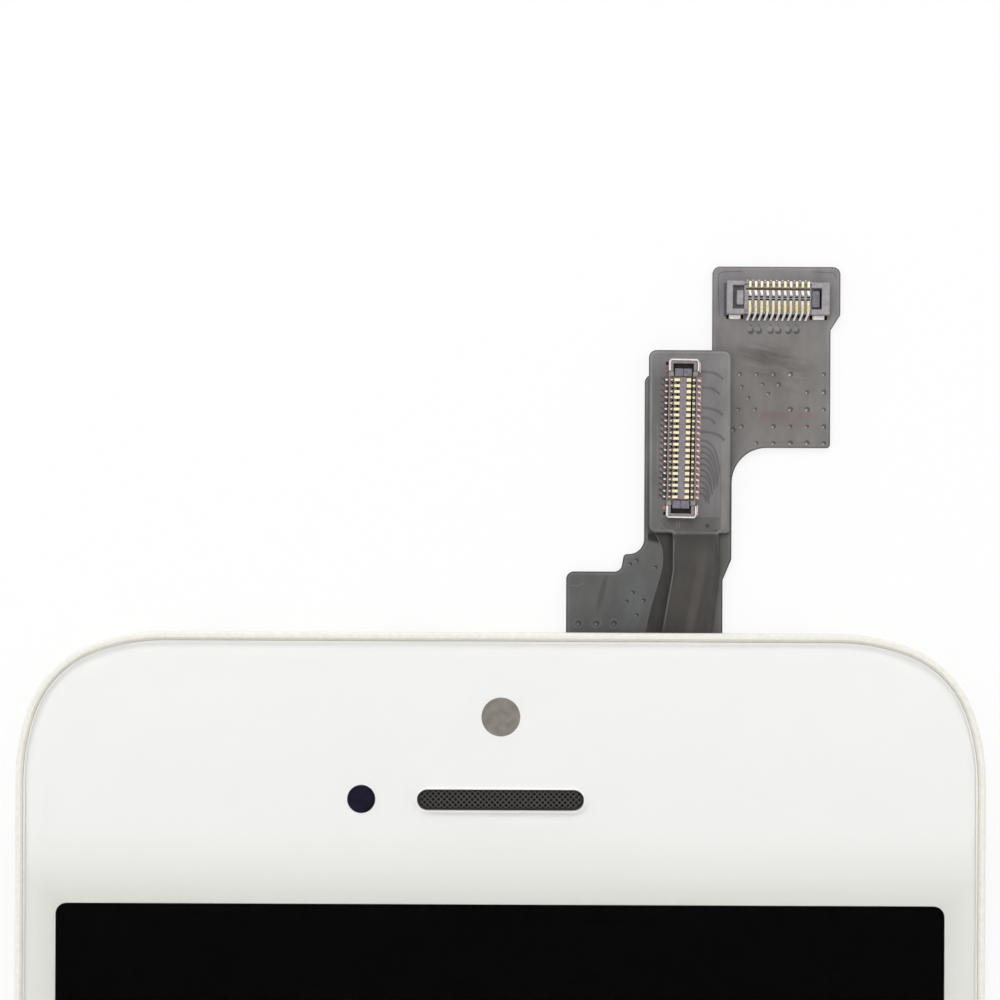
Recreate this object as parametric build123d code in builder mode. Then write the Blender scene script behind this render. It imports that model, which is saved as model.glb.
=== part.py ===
from build123d import *
from math import cos, radians, sin, sqrt

# Front assembly of a four-inch phone, in millimetres.
# X runs to the right and Y to the phone's top, both from the centre of the front.
# Z rises towards the glass from the rear face of the display's steel tray.

# Display window, which everything else is laid out around
window_width = 51.7
window_length = 90.4
window_corner = 0.65

# Corners of the front
corner_reach = 8.6
corner_end_radius = 12.0
corner_end_angle = 20.0

# What is cut in the glass and its print
camera_window_radius = 1.14
sensor_window_radius = 0.83
ear_length = 9.7
ear_height = 1.22
button_hole_radius = 5.6

# Layers of the display, from the rear face up
tray_sheet = 0.15
reflector_sheet = 0.06
guide_thickness = 0.38
diffuser_sheet_thickness = 0.06
lower_prism_thickness = 0.08
upper_prism_thickness = 0.10
rear_polarizer_thickness = 0.12
tft_thickness = 0.25
filter_thickness = 0.25
front_polarizer_thickness = 0.12
adhesive_thickness = 0.10
print_thickness = 0.05
glass_thickness = 0.70
glass_edge = 0.12

# Plan of the display module round the window
module_side_margin = 0.60
module_bottom_margin = 0.95
module_top_margin = 3.40
module_corner = 0.8
tray_grip = 0.17
tray_clearance = 0.10
panel_corner_cut = 0.4
ledge_width = 2.2
polarizer_setback = 0.15
adhesive_setback = 0.10
backlight_wall = 0.40
backlight_end_wall = 0.45
sheet_clearance = 0.05

# Light source and driver
led_pitch = 4.9
led_length = 3.0
led_depth = 0.6
led_height = 0.30
led_strip_depth = 1.3
led_strip_thickness = 0.10
chip_length = 22.0
chip_width = 0.9
chip_thickness = 0.30
chip_setback = 0.25

# Frame round the glass
ring_wall = 0.44
glass_gap = 0.06
ring_drop = 0.18
ring_edge = 0.13
flange_width = 1.55
flange_thickness = 0.40
skirt_thickness = 0.60
skirt_foot = 0.15
module_gap = 0.20
frame_adhesive_start = 0.62
frame_adhesive_width = 0.78
flex_notch_margin = 0.4
pocket_pitch = 14.0
pocket_length = 2.2
pocket_depth = 0.18
pocket_rim = 0.15

# Steel fittings on the frame
rail_thickness = 0.30
rail_height = 0.72
rail_foot = 0.20
rail_end_gap = 3.4
catch_count = 4
catch_pitch = 26.0
catch_length = 3.2
catch_height = 0.34
hook_width = 4.0
hook_sheet = 0.20
hook_lip = 0.42
hook_height = 0.62
hook_corner_gap = 1.0
hook_notch_gap = 1.2
hook_middle_x = -5.0
ear_screw_spacing = 19.0
ear_block_width = 3.0
ear_block_depth = 1.0
ear_base_length = 2.9
ear_base_thickness = 0.20
ear_screw_radius = 0.35
ear_notch_margin = 0.25
ear_gap = 0.15

# Earpiece, camera, sensor and button seats behind the glass
mesh_sheet = 0.08
mesh_side_clearance = 0.06
mesh_rise = 0.40
mesh_flange = 1.1
mesh_hole_side = 0.19
mesh_wire = 0.12
mesh_rows = 4
gasket_thickness = 0.50
gasket_rim = 0.14
bracket_thickness = 0.50
bracket_opening_margin = 0.35
bracket_corner_cut = 0.3
camera_ring_wall = 1.0
camera_ring_inner_radius = 2.0
camera_ring_height = 0.9
camera_ear_gap = 0.09
camera_flange_gap = 0.35
ear_module_gap = 0.99
sensor_ear_gap = 0.35
button_module_gap = 0.90
button_flange_gap = 0.10
sensor_bracket_width = 3.6
sensor_bracket_height = 3.0
sensor_bracket_wall = 0.5
sensor_bracket_depth = 0.8
ink_clearance = 0.01
button_gasket_gap = 0.15
button_gasket_wall = 0.40
button_gasket_thickness = 0.40
boss_spacing = 21.0
boss_offset_y = -0.3
boss_flange_radius = 1.4
boss_flange_thickness = 0.20
boss_radius = 0.95
boss_height = 0.90
boss_hole_radius = 0.40

# Flexible circuits
flex_thickness = 0.12
stiffener_thickness = 0.25
display_stiffener_thickness = 0.17
display_flex_gap = 0.08
bond_length = 0.85
bond_setback = 0.05
bend_radius = 0.30
bend_start = 0.35
bend_run = 0.40
stiffener_inset = 0.15
flex_corner = 0.45

# Touch flex plan: places across, each from the one before
touch_foot_left = 3.8
touch_foot_width = 4.8
touch_tab_width = 3.2
touch_shoulder_step = 0.18
touch_shoulder_width = 1.18
touch_neck_width = 9.17
touch_neck_step = 0.51
touch_pad_reach = 5.76
touch_head_step = 0.57
touch_head_width = 7.51

# Touch flex plan: places along, each from the one before, from the front's top edge
touch_tab_rise = 3.55
touch_shoulder_rise = 1.03
touch_spine_rise = 10.52
touch_neck_rise = 3.08
touch_neck_bevel = 1.22
touch_pad_rise = 6.54
touch_pad_length = 6.91
touch_head_bevel = 0.90
touch_head_length = 2.82
touch_inner_radius = 2.05

# Display flex plan
display_foot_gap = 0.7
display_foot_width = 11.2
display_strip_width = 2.9
display_pad_overhang = 0.72
display_pad_width = 4.83
display_neck_shift = 0.72
display_neck_width = 2.68
display_neck_length = 2.2
display_neck_drop = 0.5
display_pad_rise = 5.83
display_pad_length = 10.71

# Connectors
contact_pitch = 0.35
contact_width = 0.16
contact_sheet = 0.05
contact_flag_share = 0.4
contact_clearance = 0.02
connector_wall = 0.12
island_drop = 0.12
connector_height = 0.60
nail_sheet = 0.08
display_contact_rows = 21
display_connector_from_left = 1.94
display_connector_from_top = 5.18
display_connector_turn = -0.9
display_connector_length = 9.05
display_half_width = 0.82
display_island = 0.38
display_tail_reach = 1.18
display_nail_leg = 0.60
touch_contact_rows = 11
touch_connector_from_right = 3.70
touch_connector_from_top = 1.89
touch_connector_turn = 89.6
touch_connector_length = 6.10
touch_half_width = 0.96
touch_island = 0.34
touch_tail_reach = 1.26
touch_nail_length = 0.70
touch_nail_width = 0.34
solder_nail_thickness = 0.12

# Heights worked out from the layers
tray_top = tray_sheet
reflector_top = tray_top + reflector_sheet
guide_top = reflector_top + guide_thickness
diffuser_top = guide_top + diffuser_sheet_thickness
lower_prism_top = diffuser_top + lower_prism_thickness
upper_prism_top = lower_prism_top + upper_prism_thickness
rear_polarizer_top = upper_prism_top + rear_polarizer_thickness
tft_top = rear_polarizer_top + tft_thickness
filter_top = tft_top + filter_thickness
front_polarizer_top = filter_top + front_polarizer_thickness
print_bottom = front_polarizer_top + adhesive_thickness
glass_bottom = print_bottom + print_thickness
glass_top = glass_bottom + glass_thickness
flange_top = front_polarizer_top
flange_bottom = flange_top - flange_thickness

# Plan of the display, worked out from the window
module_half_width = window_width / 2 + module_side_margin
module_bottom = -window_length / 2 - module_bottom_margin
module_top = window_length / 2 + module_top_margin
tray_inside = tray_sheet + tray_clearance
tray_wall_height = rear_polarizer_top + tray_grip
panel_half_width = module_half_width - tray_inside
panel_bottom = module_bottom + tray_inside
panel_top = module_top - tray_inside
ledge_start = panel_top - ledge_width
guide_half_width = panel_half_width - backlight_wall - sheet_clearance
cavity_half_width = panel_half_width - backlight_wall
cavity_bottom = panel_bottom + backlight_end_wall
cavity_top = panel_top - backlight_end_wall
led_strip_bottom = cavity_top - sheet_clearance - led_strip_depth
guide_end = cavity_top - sheet_clearance - led_depth - sheet_clearance
led_count = int((2 * guide_half_width - led_length) / led_pitch) + 1

# Earpiece, camera, sensor and button, worked out from the display's ends
gasket_length = ear_length + 2 * mesh_flange
gasket_height = ear_height + 2 * mesh_flange
camera_ring_radius = camera_ring_inner_radius + camera_ring_wall
button_gasket_radius = button_hole_radius + button_gasket_gap
button_seat_radius = button_gasket_radius + button_gasket_wall
ear_y = module_top + ear_module_gap + gasket_height / 2
camera_y = ear_y + gasket_height / 2 + camera_ear_gap + camera_ring_radius
sensor_x = -gasket_length / 2 - sensor_ear_gap - sensor_bracket_width / 2
button_y = module_bottom - button_module_gap - button_seat_radius

# Front and frame, worked out from what they hold
front_half_width = module_half_width + module_gap + flange_width
front_top = camera_y + camera_ring_radius + camera_flange_gap + flange_width
front_bottom = button_y - button_seat_radius - button_flange_gap - flange_width
front_middle = (front_top + front_bottom) / 2
front_half_length = (front_top - front_bottom) / 2
ring_inset = ring_wall + glass_gap
ring_top = glass_top - ring_drop
skirt_outer_inset = flange_width - skirt_thickness
skirt_face = front_half_width - skirt_outer_inset
ear_screw_z = (skirt_foot + flange_bottom) / 2

# Flexes and connectors, worked out from the chains above
touch_foot_right = touch_foot_left + touch_foot_width
touch_tab_right = touch_foot_left + touch_tab_width
touch_shoulder_left = touch_tab_right + touch_shoulder_step
touch_spine_left = touch_shoulder_left + touch_shoulder_width
touch_neck_right = touch_foot_left + touch_neck_width
touch_spine_right = touch_neck_right + touch_neck_step
touch_pad_right = touch_spine_right + touch_pad_reach
touch_head_right = touch_pad_right + touch_head_step
touch_pad_left = touch_head_right - touch_head_width
touch_tab_top = front_top + touch_tab_rise
touch_shoulder_top = touch_tab_top + touch_shoulder_rise
touch_spine_top = touch_shoulder_top + touch_spine_rise
touch_neck_top = front_top + touch_neck_rise
touch_spine_foot = touch_neck_top + touch_neck_bevel
touch_pad_bottom = touch_spine_foot + touch_pad_rise
touch_step_y = touch_pad_bottom + touch_pad_length
touch_head_y = touch_step_y + touch_head_bevel
touch_top = touch_head_y + touch_head_length
display_strip_left = touch_foot_right + display_foot_gap
display_strip_right = display_strip_left + display_strip_width
display_foot_right = display_strip_left + display_foot_width
display_pad_left = display_strip_left - display_pad_overhang
display_pad_right = display_pad_left + display_pad_width
display_neck_left = display_strip_left + display_neck_shift
display_neck_right = display_neck_left + display_neck_width
display_neck_y = front_top - display_neck_drop
display_pad_bottom = front_top + display_pad_rise
display_pad_top = display_pad_bottom + display_pad_length
display_neck_bend = display_pad_bottom - display_neck_length
display_connector_centre = (
    display_pad_left + display_connector_from_left,
    display_pad_top - display_connector_from_top,
)
touch_connector_centre = (
    touch_head_right - touch_connector_from_right,
    touch_top - touch_connector_from_top,
)


def front_outline(inset):
    """Face of the front's outline, parallel to its edge and drawn in by the inset."""
    half_width = front_half_width
    half_length = front_half_length
    turn = radians(corner_end_angle)
    step = (corner_end_radius - corner_reach) / (cos(turn) - sin(turn))
    middle_radius = corner_end_radius - step
    top_centre = (half_width - corner_reach, half_length - corner_end_radius)
    side_centre = (half_width - corner_end_radius, half_length - corner_reach)
    middle_centre = (top_centre[0] + step * sin(turn), top_centre[1] + step * cos(turn))
    with BuildSketch() as outline:
        with BuildLine():
            Line((0, half_length - inset), (top_centre[0], half_length - inset))
            CenterArc(top_centre, corner_end_radius - inset, 90, -corner_end_angle)
            CenterArc(middle_centre, middle_radius - inset, 90 - corner_end_angle, 2 * corner_end_angle - 90)
            CenterArc(side_centre, corner_end_radius - inset, corner_end_angle, -corner_end_angle)
            Line((half_width - inset, side_centre[1]), (half_width - inset, 0))
            mirror(about=Plane.XZ)
            mirror(about=Plane.YZ)
        make_face()
    return outline.sketch.moved(Location((0, front_middle)))


def outline_ring(outer_inset, inner_inset):
    """Band that follows the front's outline between two insets."""
    with BuildSketch() as band:
        add(front_outline(outer_inset))
        add(front_outline(inner_inset), mode=Mode.SUBTRACT)
    return band.sketch


def span(left, right, bottom, top, corner=0, mode=Mode.ADD):
    """Rectangle between four edges, with rounded corners if a radius is given."""
    with Locations(((left + right) / 2, (bottom + top) / 2)):
        if corner > 0:
            RectangleRounded(right - left, top - bottom, corner, mode=mode)
        else:
            Rectangle(right - left, top - bottom, mode=mode)


def cut_plate(left, right, bottom, top, cut):
    """Rectangle between four edges, with its corners cut off at 45 degrees."""
    Polygon(
        (left + cut, bottom),
        (right - cut, bottom),
        (right, bottom + cut),
        (right, top - cut),
        (right - cut, top),
        (left + cut, top),
        (left, top - cut),
        (left, bottom + cut),
        align=None,
    )


# Cover glass: one plate with the earpiece slot and the button hole
with BuildPart() as cover_glass:
    with BuildSketch(Plane.XY.offset(glass_bottom)):
        add(front_outline(ring_inset))
        with Locations((0, ear_y)):
            SlotOverall(ear_length, ear_height, mode=Mode.SUBTRACT)
        with Locations((0, button_y)):
            Circle(button_hole_radius, mode=Mode.SUBTRACT)
    extrude(amount=glass_thickness)
    chamfer(cover_glass.edges().group_by(Axis.Z)[-1], glass_edge)
cover_glass.part.label = "cover_glass"
export_step(cover_glass.part, "parts/cover_glass.step")

# Border print: white ink on the back of the glass, open at the windows
with BuildPart() as border_print:
    with BuildSketch(Plane.XY.offset(print_bottom)):
        add(front_outline(ring_inset + adhesive_setback))
        RectangleRounded(window_width, window_length, window_corner, mode=Mode.SUBTRACT)
        with Locations((0, ear_y)):
            SlotOverall(ear_length, ear_height, mode=Mode.SUBTRACT)
        with Locations((0, button_y)):
            Circle(button_hole_radius, mode=Mode.SUBTRACT)
        with Locations((0, camera_y)):
            Circle(camera_window_radius, mode=Mode.SUBTRACT)
        with Locations((sensor_x, ear_y)):
            Circle(sensor_window_radius, mode=Mode.SUBTRACT)
    extrude(amount=print_thickness)
border_print.part.label = "border_print"
export_step(border_print.part, "parts/border_print.step")

# Sensor ink: dark dot that fills the sensor window of the print
with BuildPart() as sensor_ink:
    with BuildSketch(Plane.XY.offset(print_bottom)):
        with Locations((sensor_x, ear_y)):
            Circle(sensor_window_radius - ink_clearance)
    extrude(amount=print_thickness)
sensor_ink.part.label = "sensor_ink"
export_step(sensor_ink.part, "parts/sensor_ink.step")

# Camera window film: thin disc that fills the camera window of the print
with BuildPart() as camera_window_film:
    with BuildSketch(Plane.XY.offset(print_bottom)):
        with Locations((0, camera_y)):
            Circle(camera_window_radius - ink_clearance)
    extrude(amount=print_thickness)
camera_window_film.part.label = "camera_window_film"
export_step(camera_window_film.part, "parts/camera_window_film.step")

# Optical adhesive: bonds the display to the glass and fills the window of the print
with BuildPart() as optical_adhesive:
    with BuildSketch(Plane.XY.offset(front_polarizer_top)):
        span(
            -panel_half_width + adhesive_setback,
            panel_half_width - adhesive_setback,
            panel_bottom + adhesive_setback,
            ledge_start - adhesive_setback,
        )
    extrude(amount=adhesive_thickness)
    with BuildSketch(Plane.XY.offset(print_bottom)):
        RectangleRounded(window_width, window_length, window_corner)
    extrude(amount=print_thickness)
optical_adhesive.part.label = "optical_adhesive"
export_step(optical_adhesive.part, "parts/optical_adhesive.step")

# Front polarizer: film on the colour filter glass
with BuildPart() as front_polarizer:
    with BuildSketch(Plane.XY.offset(filter_top)):
        span(
            -panel_half_width + polarizer_setback,
            panel_half_width - polarizer_setback,
            panel_bottom + polarizer_setback,
            ledge_start - polarizer_setback,
        )
    extrude(amount=front_polarizer_thickness)
front_polarizer.part.label = "front_polarizer"
export_step(front_polarizer.part, "parts/front_polarizer.step")

# Colour filter glass: stops short of the top end and leaves the ledge free
with BuildPart() as color_filter_glass:
    with BuildSketch(Plane.XY.offset(tft_top)):
        cut_plate(-panel_half_width, panel_half_width, panel_bottom, ledge_start, panel_corner_cut)
    extrude(amount=filter_thickness)
color_filter_glass.part.label = "color_filter_glass"
export_step(color_filter_glass.part, "parts/color_filter_glass.step")

# TFT glass: its bare top end is the ledge that carries the driver and the flexes
with BuildPart() as tft_glass:
    with BuildSketch(Plane.XY.offset(rear_polarizer_top)):
        cut_plate(-panel_half_width, panel_half_width, panel_bottom, panel_top, panel_corner_cut)
    extrude(amount=tft_thickness)
tft_glass.part.label = "tft_glass"
export_step(tft_glass.part, "parts/tft_glass.step")

# Driver chip: long thin die bonded face down on the ledge
with BuildPart() as driver_chip:
    with BuildSketch(Plane.XY.offset(tft_top)):
        span(
            -chip_length / 2,
            chip_length / 2,
            ledge_start + chip_setback,
            ledge_start + chip_setback + chip_width,
        )
    extrude(amount=chip_thickness)
driver_chip.part.label = "driver_chip"
export_step(driver_chip.part, "parts/driver_chip.step")

# Rear polarizer: film on the back of the TFT glass, inside the backlight frame
with BuildPart() as rear_polarizer:
    with BuildSketch(Plane.XY.offset(upper_prism_top)):
        span(-guide_half_width, guide_half_width, cavity_bottom + sheet_clearance, guide_end)
    extrude(amount=rear_polarizer_thickness)
rear_polarizer.part.label = "rear_polarizer"
export_step(rear_polarizer.part, "parts/rear_polarizer.step")

# Upper prism sheet
with BuildPart() as upper_prism_sheet:
    with BuildSketch(Plane.XY.offset(lower_prism_top)):
        span(-guide_half_width, guide_half_width, cavity_bottom + sheet_clearance, guide_end)
    extrude(amount=upper_prism_thickness)
upper_prism_sheet.part.label = "upper_prism_sheet"
export_step(upper_prism_sheet.part, "parts/upper_prism_sheet.step")

# Lower prism sheet
with BuildPart() as lower_prism_sheet:
    with BuildSketch(Plane.XY.offset(diffuser_top)):
        span(-guide_half_width, guide_half_width, cavity_bottom + sheet_clearance, guide_end)
    extrude(amount=lower_prism_thickness)
lower_prism_sheet.part.label = "lower_prism_sheet"
export_step(lower_prism_sheet.part, "parts/lower_prism_sheet.step")

# Diffuser sheet
with BuildPart() as diffuser_sheet:
    with BuildSketch(Plane.XY.offset(guide_top)):
        span(-guide_half_width, guide_half_width, cavity_bottom + sheet_clearance, guide_end)
    extrude(amount=diffuser_sheet_thickness)
diffuser_sheet.part.label = "diffuser_sheet"
export_step(diffuser_sheet.part, "parts/diffuser_sheet.step")

# Light guide plate: spreads the light of the LEDs at its top end
with BuildPart() as light_guide_plate:
    with BuildSketch(Plane.XY.offset(reflector_top)):
        span(-guide_half_width, guide_half_width, cavity_bottom + sheet_clearance, guide_end)
    extrude(amount=guide_thickness)
light_guide_plate.part.label = "light_guide_plate"
export_step(light_guide_plate.part, "parts/light_guide_plate.step")

# Reflector sheet: under the light guide, short of the LED strip
with BuildPart() as reflector_film:
    with BuildSketch(Plane.XY.offset(tray_top)):
        span(
            -guide_half_width,
            guide_half_width,
            cavity_bottom + sheet_clearance,
            led_strip_bottom - sheet_clearance,
        )
    extrude(amount=reflector_sheet)
reflector_film.part.label = "reflector_sheet"
export_step(reflector_film.part, "parts/reflector_sheet.step")

# LED strip: flexible strip on the tray floor under the ledge
with BuildPart() as led_strip:
    with BuildSketch(Plane.XY.offset(tray_top)):
        span(
            -cavity_half_width + sheet_clearance,
            cavity_half_width - sheet_clearance,
            led_strip_bottom,
            cavity_top - sheet_clearance,
        )
        span(
            -guide_half_width,
            guide_half_width,
            led_strip_bottom,
            guide_end,
            mode=Mode.SUBTRACT,
        )
    extrude(amount=led_strip_thickness)
led_strip.part.label = "led_strip"
export_step(led_strip.part, "parts/led_strip.step")

# Backlight LEDs: a row on the strip that faces the end of the light guide
with BuildPart() as backlight_leds:
    led_plane = Plane.XY.offset(tray_top + led_strip_thickness)
    with BuildSketch(led_plane):
        with Locations((0, cavity_top - sheet_clearance - led_depth / 2)):
            with GridLocations(led_pitch, 0, led_count, 1):
                Rectangle(led_length, led_depth)
    extrude(amount=led_height)
backlight_leds.part.label = "backlight_leds"
export_step(backlight_leds.part, "parts/backlight_leds.step")

# Backlight frame: white plastic ring round the sheets, seat of the TFT glass
with BuildPart() as backlight_frame:
    with BuildSketch(Plane.XY.offset(tray_top)):
        cut_plate(-panel_half_width, panel_half_width, panel_bottom, panel_top, panel_corner_cut)
        span(
            -cavity_half_width,
            cavity_half_width,
            cavity_bottom,
            cavity_top,
            mode=Mode.SUBTRACT,
        )
    extrude(amount=rear_polarizer_top - tray_top)
backlight_frame.part.label = "backlight_frame"
export_step(backlight_frame.part, "parts/backlight_frame.step")

# Backlight tray: folded steel tray, the rear face that the assembly rests on
with BuildPart() as backlight_tray:
    with BuildSketch():
        span(-module_half_width, module_half_width, module_bottom, module_top, module_corner)
    extrude(amount=tray_wall_height)
    with BuildSketch(Plane.XY.offset(tray_sheet)):
        span(
            -module_half_width + tray_sheet,
            module_half_width - tray_sheet,
            module_bottom + tray_sheet,
            module_top - tray_sheet,
            module_corner - tray_sheet,
        )
    extrude(amount=tray_wall_height, mode=Mode.SUBTRACT)
    chamfer(backlight_tray.edges().group_by(Axis.Z)[0], tray_sheet / 3)
backlight_tray.part.label = "backlight_tray"
export_step(backlight_tray.part, "parts/backlight_tray.step")

# Bezel frame: moulded ring with a seat for the glass
with BuildPart() as bezel_frame:
    with BuildSketch(Plane.XY.offset(flange_bottom)):
        add(outline_ring(0, flange_width))
    extrude(amount=flange_thickness)
    with BuildSketch(Plane.XY.offset(flange_top)):
        add(outline_ring(0, ring_wall))
    extrude(amount=ring_top - flange_top)
    chamfer(bezel_frame.edges().group_by(Axis.Z)[-1], ring_edge)
    pocket_count = int(2 * (front_half_length - corner_reach) / pocket_pitch)
    for side in (-1, 1):
        pocket_x = side * (front_half_width - skirt_outer_inset / 2)
        with BuildSketch(Plane.XY.offset(flange_bottom)):
            with Locations((pocket_x, front_middle)):
                with GridLocations(0, pocket_pitch, 1, pocket_count):
                    Rectangle(skirt_outer_inset - 2 * pocket_rim, pocket_length)
        extrude(amount=pocket_depth, mode=Mode.SUBTRACT)
bezel_frame.part.label = "bezel_frame"
export_step(bezel_frame.part, "parts/bezel_frame.step")

# Frame skirt: wall under the frame, open where the flexes and the bottom screws pass
flex_notch_left = touch_foot_left - flex_notch_margin
flex_notch_right = touch_neck_right + flex_notch_margin
ear_notch_width = ear_block_width + 2 * ear_notch_margin
with BuildPart() as frame_skirt:
    with BuildSketch(Plane.XY.offset(skirt_foot)):
        add(outline_ring(skirt_outer_inset, flange_width))
        span(
            flex_notch_left,
            flex_notch_right,
            front_top - 2 * flange_width,
            front_top,
            mode=Mode.SUBTRACT,
        )
        with Locations((0, front_bottom + flange_width)):
            with GridLocations(ear_screw_spacing, 0, 2, 1):
                Rectangle(ear_notch_width, 2 * flange_width, mode=Mode.SUBTRACT)
    extrude(amount=flange_bottom - skirt_foot)
frame_skirt.part.label = "frame_skirt"
export_step(frame_skirt.part, "parts/frame_skirt.step")

# Frame adhesive: narrow bead between the frame's seat and the glass
with BuildPart() as frame_adhesive:
    with BuildSketch(Plane.XY.offset(flange_top)):
        add(outline_ring(frame_adhesive_start, frame_adhesive_start + frame_adhesive_width))
    extrude(amount=adhesive_thickness)
frame_adhesive.part.label = "frame_adhesive"
export_step(frame_adhesive.part, "parts/frame_adhesive.step")

# Side rails: steel strips on the skirt's outer faces, with windows for the catches
rail_length = 2 * (front_half_length - corner_reach - rail_end_gap)
for side, rail_name in ((-1, "left_rail"), (1, "right_rail")):
    with BuildPart() as rail:
        with BuildSketch(Plane.YZ.offset(side * skirt_face)):
            with Locations((front_middle, rail_foot + rail_height / 2)):
                Rectangle(rail_length, rail_height)
                with GridLocations(catch_pitch, 0, catch_count, 1):
                    Rectangle(catch_length, catch_height, mode=Mode.SUBTRACT)
        extrude(amount=side * rail_thickness)
    rail.part.label = rail_name
    export_step(rail.part, f"parts/{rail_name}.step")

# Top hooks: bent steel lips that slide under the housing's top rim
hook_back = front_top - skirt_outer_inset
hook_left_x = corner_reach + hook_corner_gap + hook_width / 2 - front_half_width
hook_right_x = flex_notch_right + hook_notch_gap + hook_width / 2
with BuildPart() as top_hooks:
    for hook_x in (hook_left_x, hook_middle_x, hook_right_x):
        with BuildSketch(Plane.YZ.offset(hook_x - hook_width / 2)):
            span(hook_back, hook_back + hook_sheet, skirt_foot, skirt_foot + hook_height)
            span(hook_back, hook_back + hook_lip, skirt_foot, skirt_foot + hook_sheet)
        extrude(amount=hook_width)
top_hooks.part.label = "top_hooks"
export_step(top_hooks.part, "parts/top_hooks.step")

# Bottom ears: steel angles behind the glass with a tapped hole for each bottom screw
ear_face = front_bottom + flange_width + ear_gap
with BuildPart() as bottom_ears:
    for side in (-1, 1):
        ear_left = side * ear_screw_spacing / 2 - ear_block_width / 2
        ear_right = side * ear_screw_spacing / 2 + ear_block_width / 2
        with BuildSketch(Plane.XY.offset(print_bottom - ear_base_thickness)):
            span(ear_left, ear_right, ear_face, ear_face + ear_base_length)
        extrude(amount=ear_base_thickness)
        with BuildSketch(Plane.XY.offset(skirt_foot)):
            span(ear_left, ear_right, ear_face, ear_face + ear_block_depth)
        extrude(amount=print_bottom - ear_base_thickness - skirt_foot)
    with BuildSketch(Plane.XZ.offset(-ear_face)):
        with Locations((0, ear_screw_z)):
            with GridLocations(ear_screw_spacing, 0, 2, 1):
                Circle(ear_screw_radius)
    extrude(amount=-ear_block_depth, mode=Mode.SUBTRACT)
bottom_ears.part.label = "bottom_ears"
export_step(bottom_ears.part, "parts/bottom_ears.step")

# Earpiece mesh: formed sheet with a raised panel of square holes set cornerwise
mesh_flange_top = print_bottom
mesh_panel_top = glass_bottom + mesh_rise
mesh_panel_length = ear_length - 2 * mesh_side_clearance
mesh_panel_height = ear_height - 2 * mesh_side_clearance
mesh_cell = (mesh_hole_side + mesh_wire) * sqrt(2)
mesh_columns = int((mesh_panel_length - mesh_panel_height / 2) / mesh_cell)
with BuildPart() as earpiece_mesh:
    with BuildSketch(Plane.XY.offset(mesh_flange_top - mesh_sheet)):
        with Locations((0, ear_y)):
            SlotOverall(gasket_length, gasket_height)
            SlotOverall(
                mesh_panel_length - 2 * mesh_sheet,
                mesh_panel_height - 2 * mesh_sheet,
                mode=Mode.SUBTRACT,
            )
    extrude(amount=mesh_sheet)
    with BuildSketch(Plane.XY.offset(mesh_flange_top)):
        with Locations((0, ear_y)):
            SlotOverall(mesh_panel_length, mesh_panel_height)
            SlotOverall(
                mesh_panel_length - 2 * mesh_sheet,
                mesh_panel_height - 2 * mesh_sheet,
                mode=Mode.SUBTRACT,
            )
    extrude(amount=mesh_panel_top - mesh_flange_top)
    with BuildSketch(Plane.XY.offset(mesh_panel_top - mesh_sheet)):
        with Locations((0, ear_y)):
            SlotOverall(mesh_panel_length, mesh_panel_height)
        for row in range(mesh_rows):
            row_y = ear_y + (row - (mesh_rows - 1) / 2) * mesh_cell / 2
            row_columns = mesh_columns - row % 2
            with Locations((0, row_y)):
                with GridLocations(mesh_cell, 0, row_columns, 1):
                    Rectangle(mesh_hole_side, mesh_hole_side, rotation=45, mode=Mode.SUBTRACT)
    extrude(amount=mesh_sheet)
earpiece_mesh.part.label = "earpiece_mesh"
export_step(earpiece_mesh.part, "parts/earpiece_mesh.step")

# Mesh gasket: foam ring behind the mesh flange
gasket_top = mesh_flange_top - mesh_sheet
with BuildPart() as mesh_gasket:
    with BuildSketch(Plane.XY.offset(gasket_top - gasket_thickness)):
        with Locations((0, ear_y)):
            SlotOverall(gasket_length, gasket_height)
            SlotOverall(
                ear_length + 2 * gasket_rim,
                ear_height + 2 * gasket_rim,
                mode=Mode.SUBTRACT,
            )
    extrude(amount=gasket_thickness)
mesh_gasket.part.label = "mesh_gasket"
export_step(mesh_gasket.part, "parts/mesh_gasket.step")

# Earpiece bracket: seat of the speaker behind the gasket
bracket_top = gasket_top - gasket_thickness
with BuildPart() as earpiece_bracket:
    with BuildSketch(Plane.XY.offset(bracket_top - bracket_thickness)):
        cut_plate(
            -gasket_length / 2,
            gasket_length / 2,
            ear_y - gasket_height / 2,
            ear_y + gasket_height / 2,
            bracket_corner_cut,
        )
        with Locations((0, ear_y)):
            Rectangle(
                ear_length + 2 * bracket_opening_margin,
                ear_height + 2 * bracket_opening_margin,
                mode=Mode.SUBTRACT,
            )
    extrude(amount=bracket_thickness)
earpiece_bracket.part.label = "earpiece_bracket"
export_step(earpiece_bracket.part, "parts/earpiece_bracket.step")

# Camera ring: plastic ring behind the camera window that centres the camera
with BuildPart() as camera_ring:
    with BuildSketch(Plane.XY.offset(print_bottom - camera_ring_height)):
        with Locations((0, camera_y)):
            Circle(camera_ring_radius)
            Circle(camera_ring_inner_radius, mode=Mode.SUBTRACT)
    extrude(amount=camera_ring_height)
camera_ring.part.label = "camera_ring"
export_step(camera_ring.part, "parts/camera_ring.step")

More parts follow.
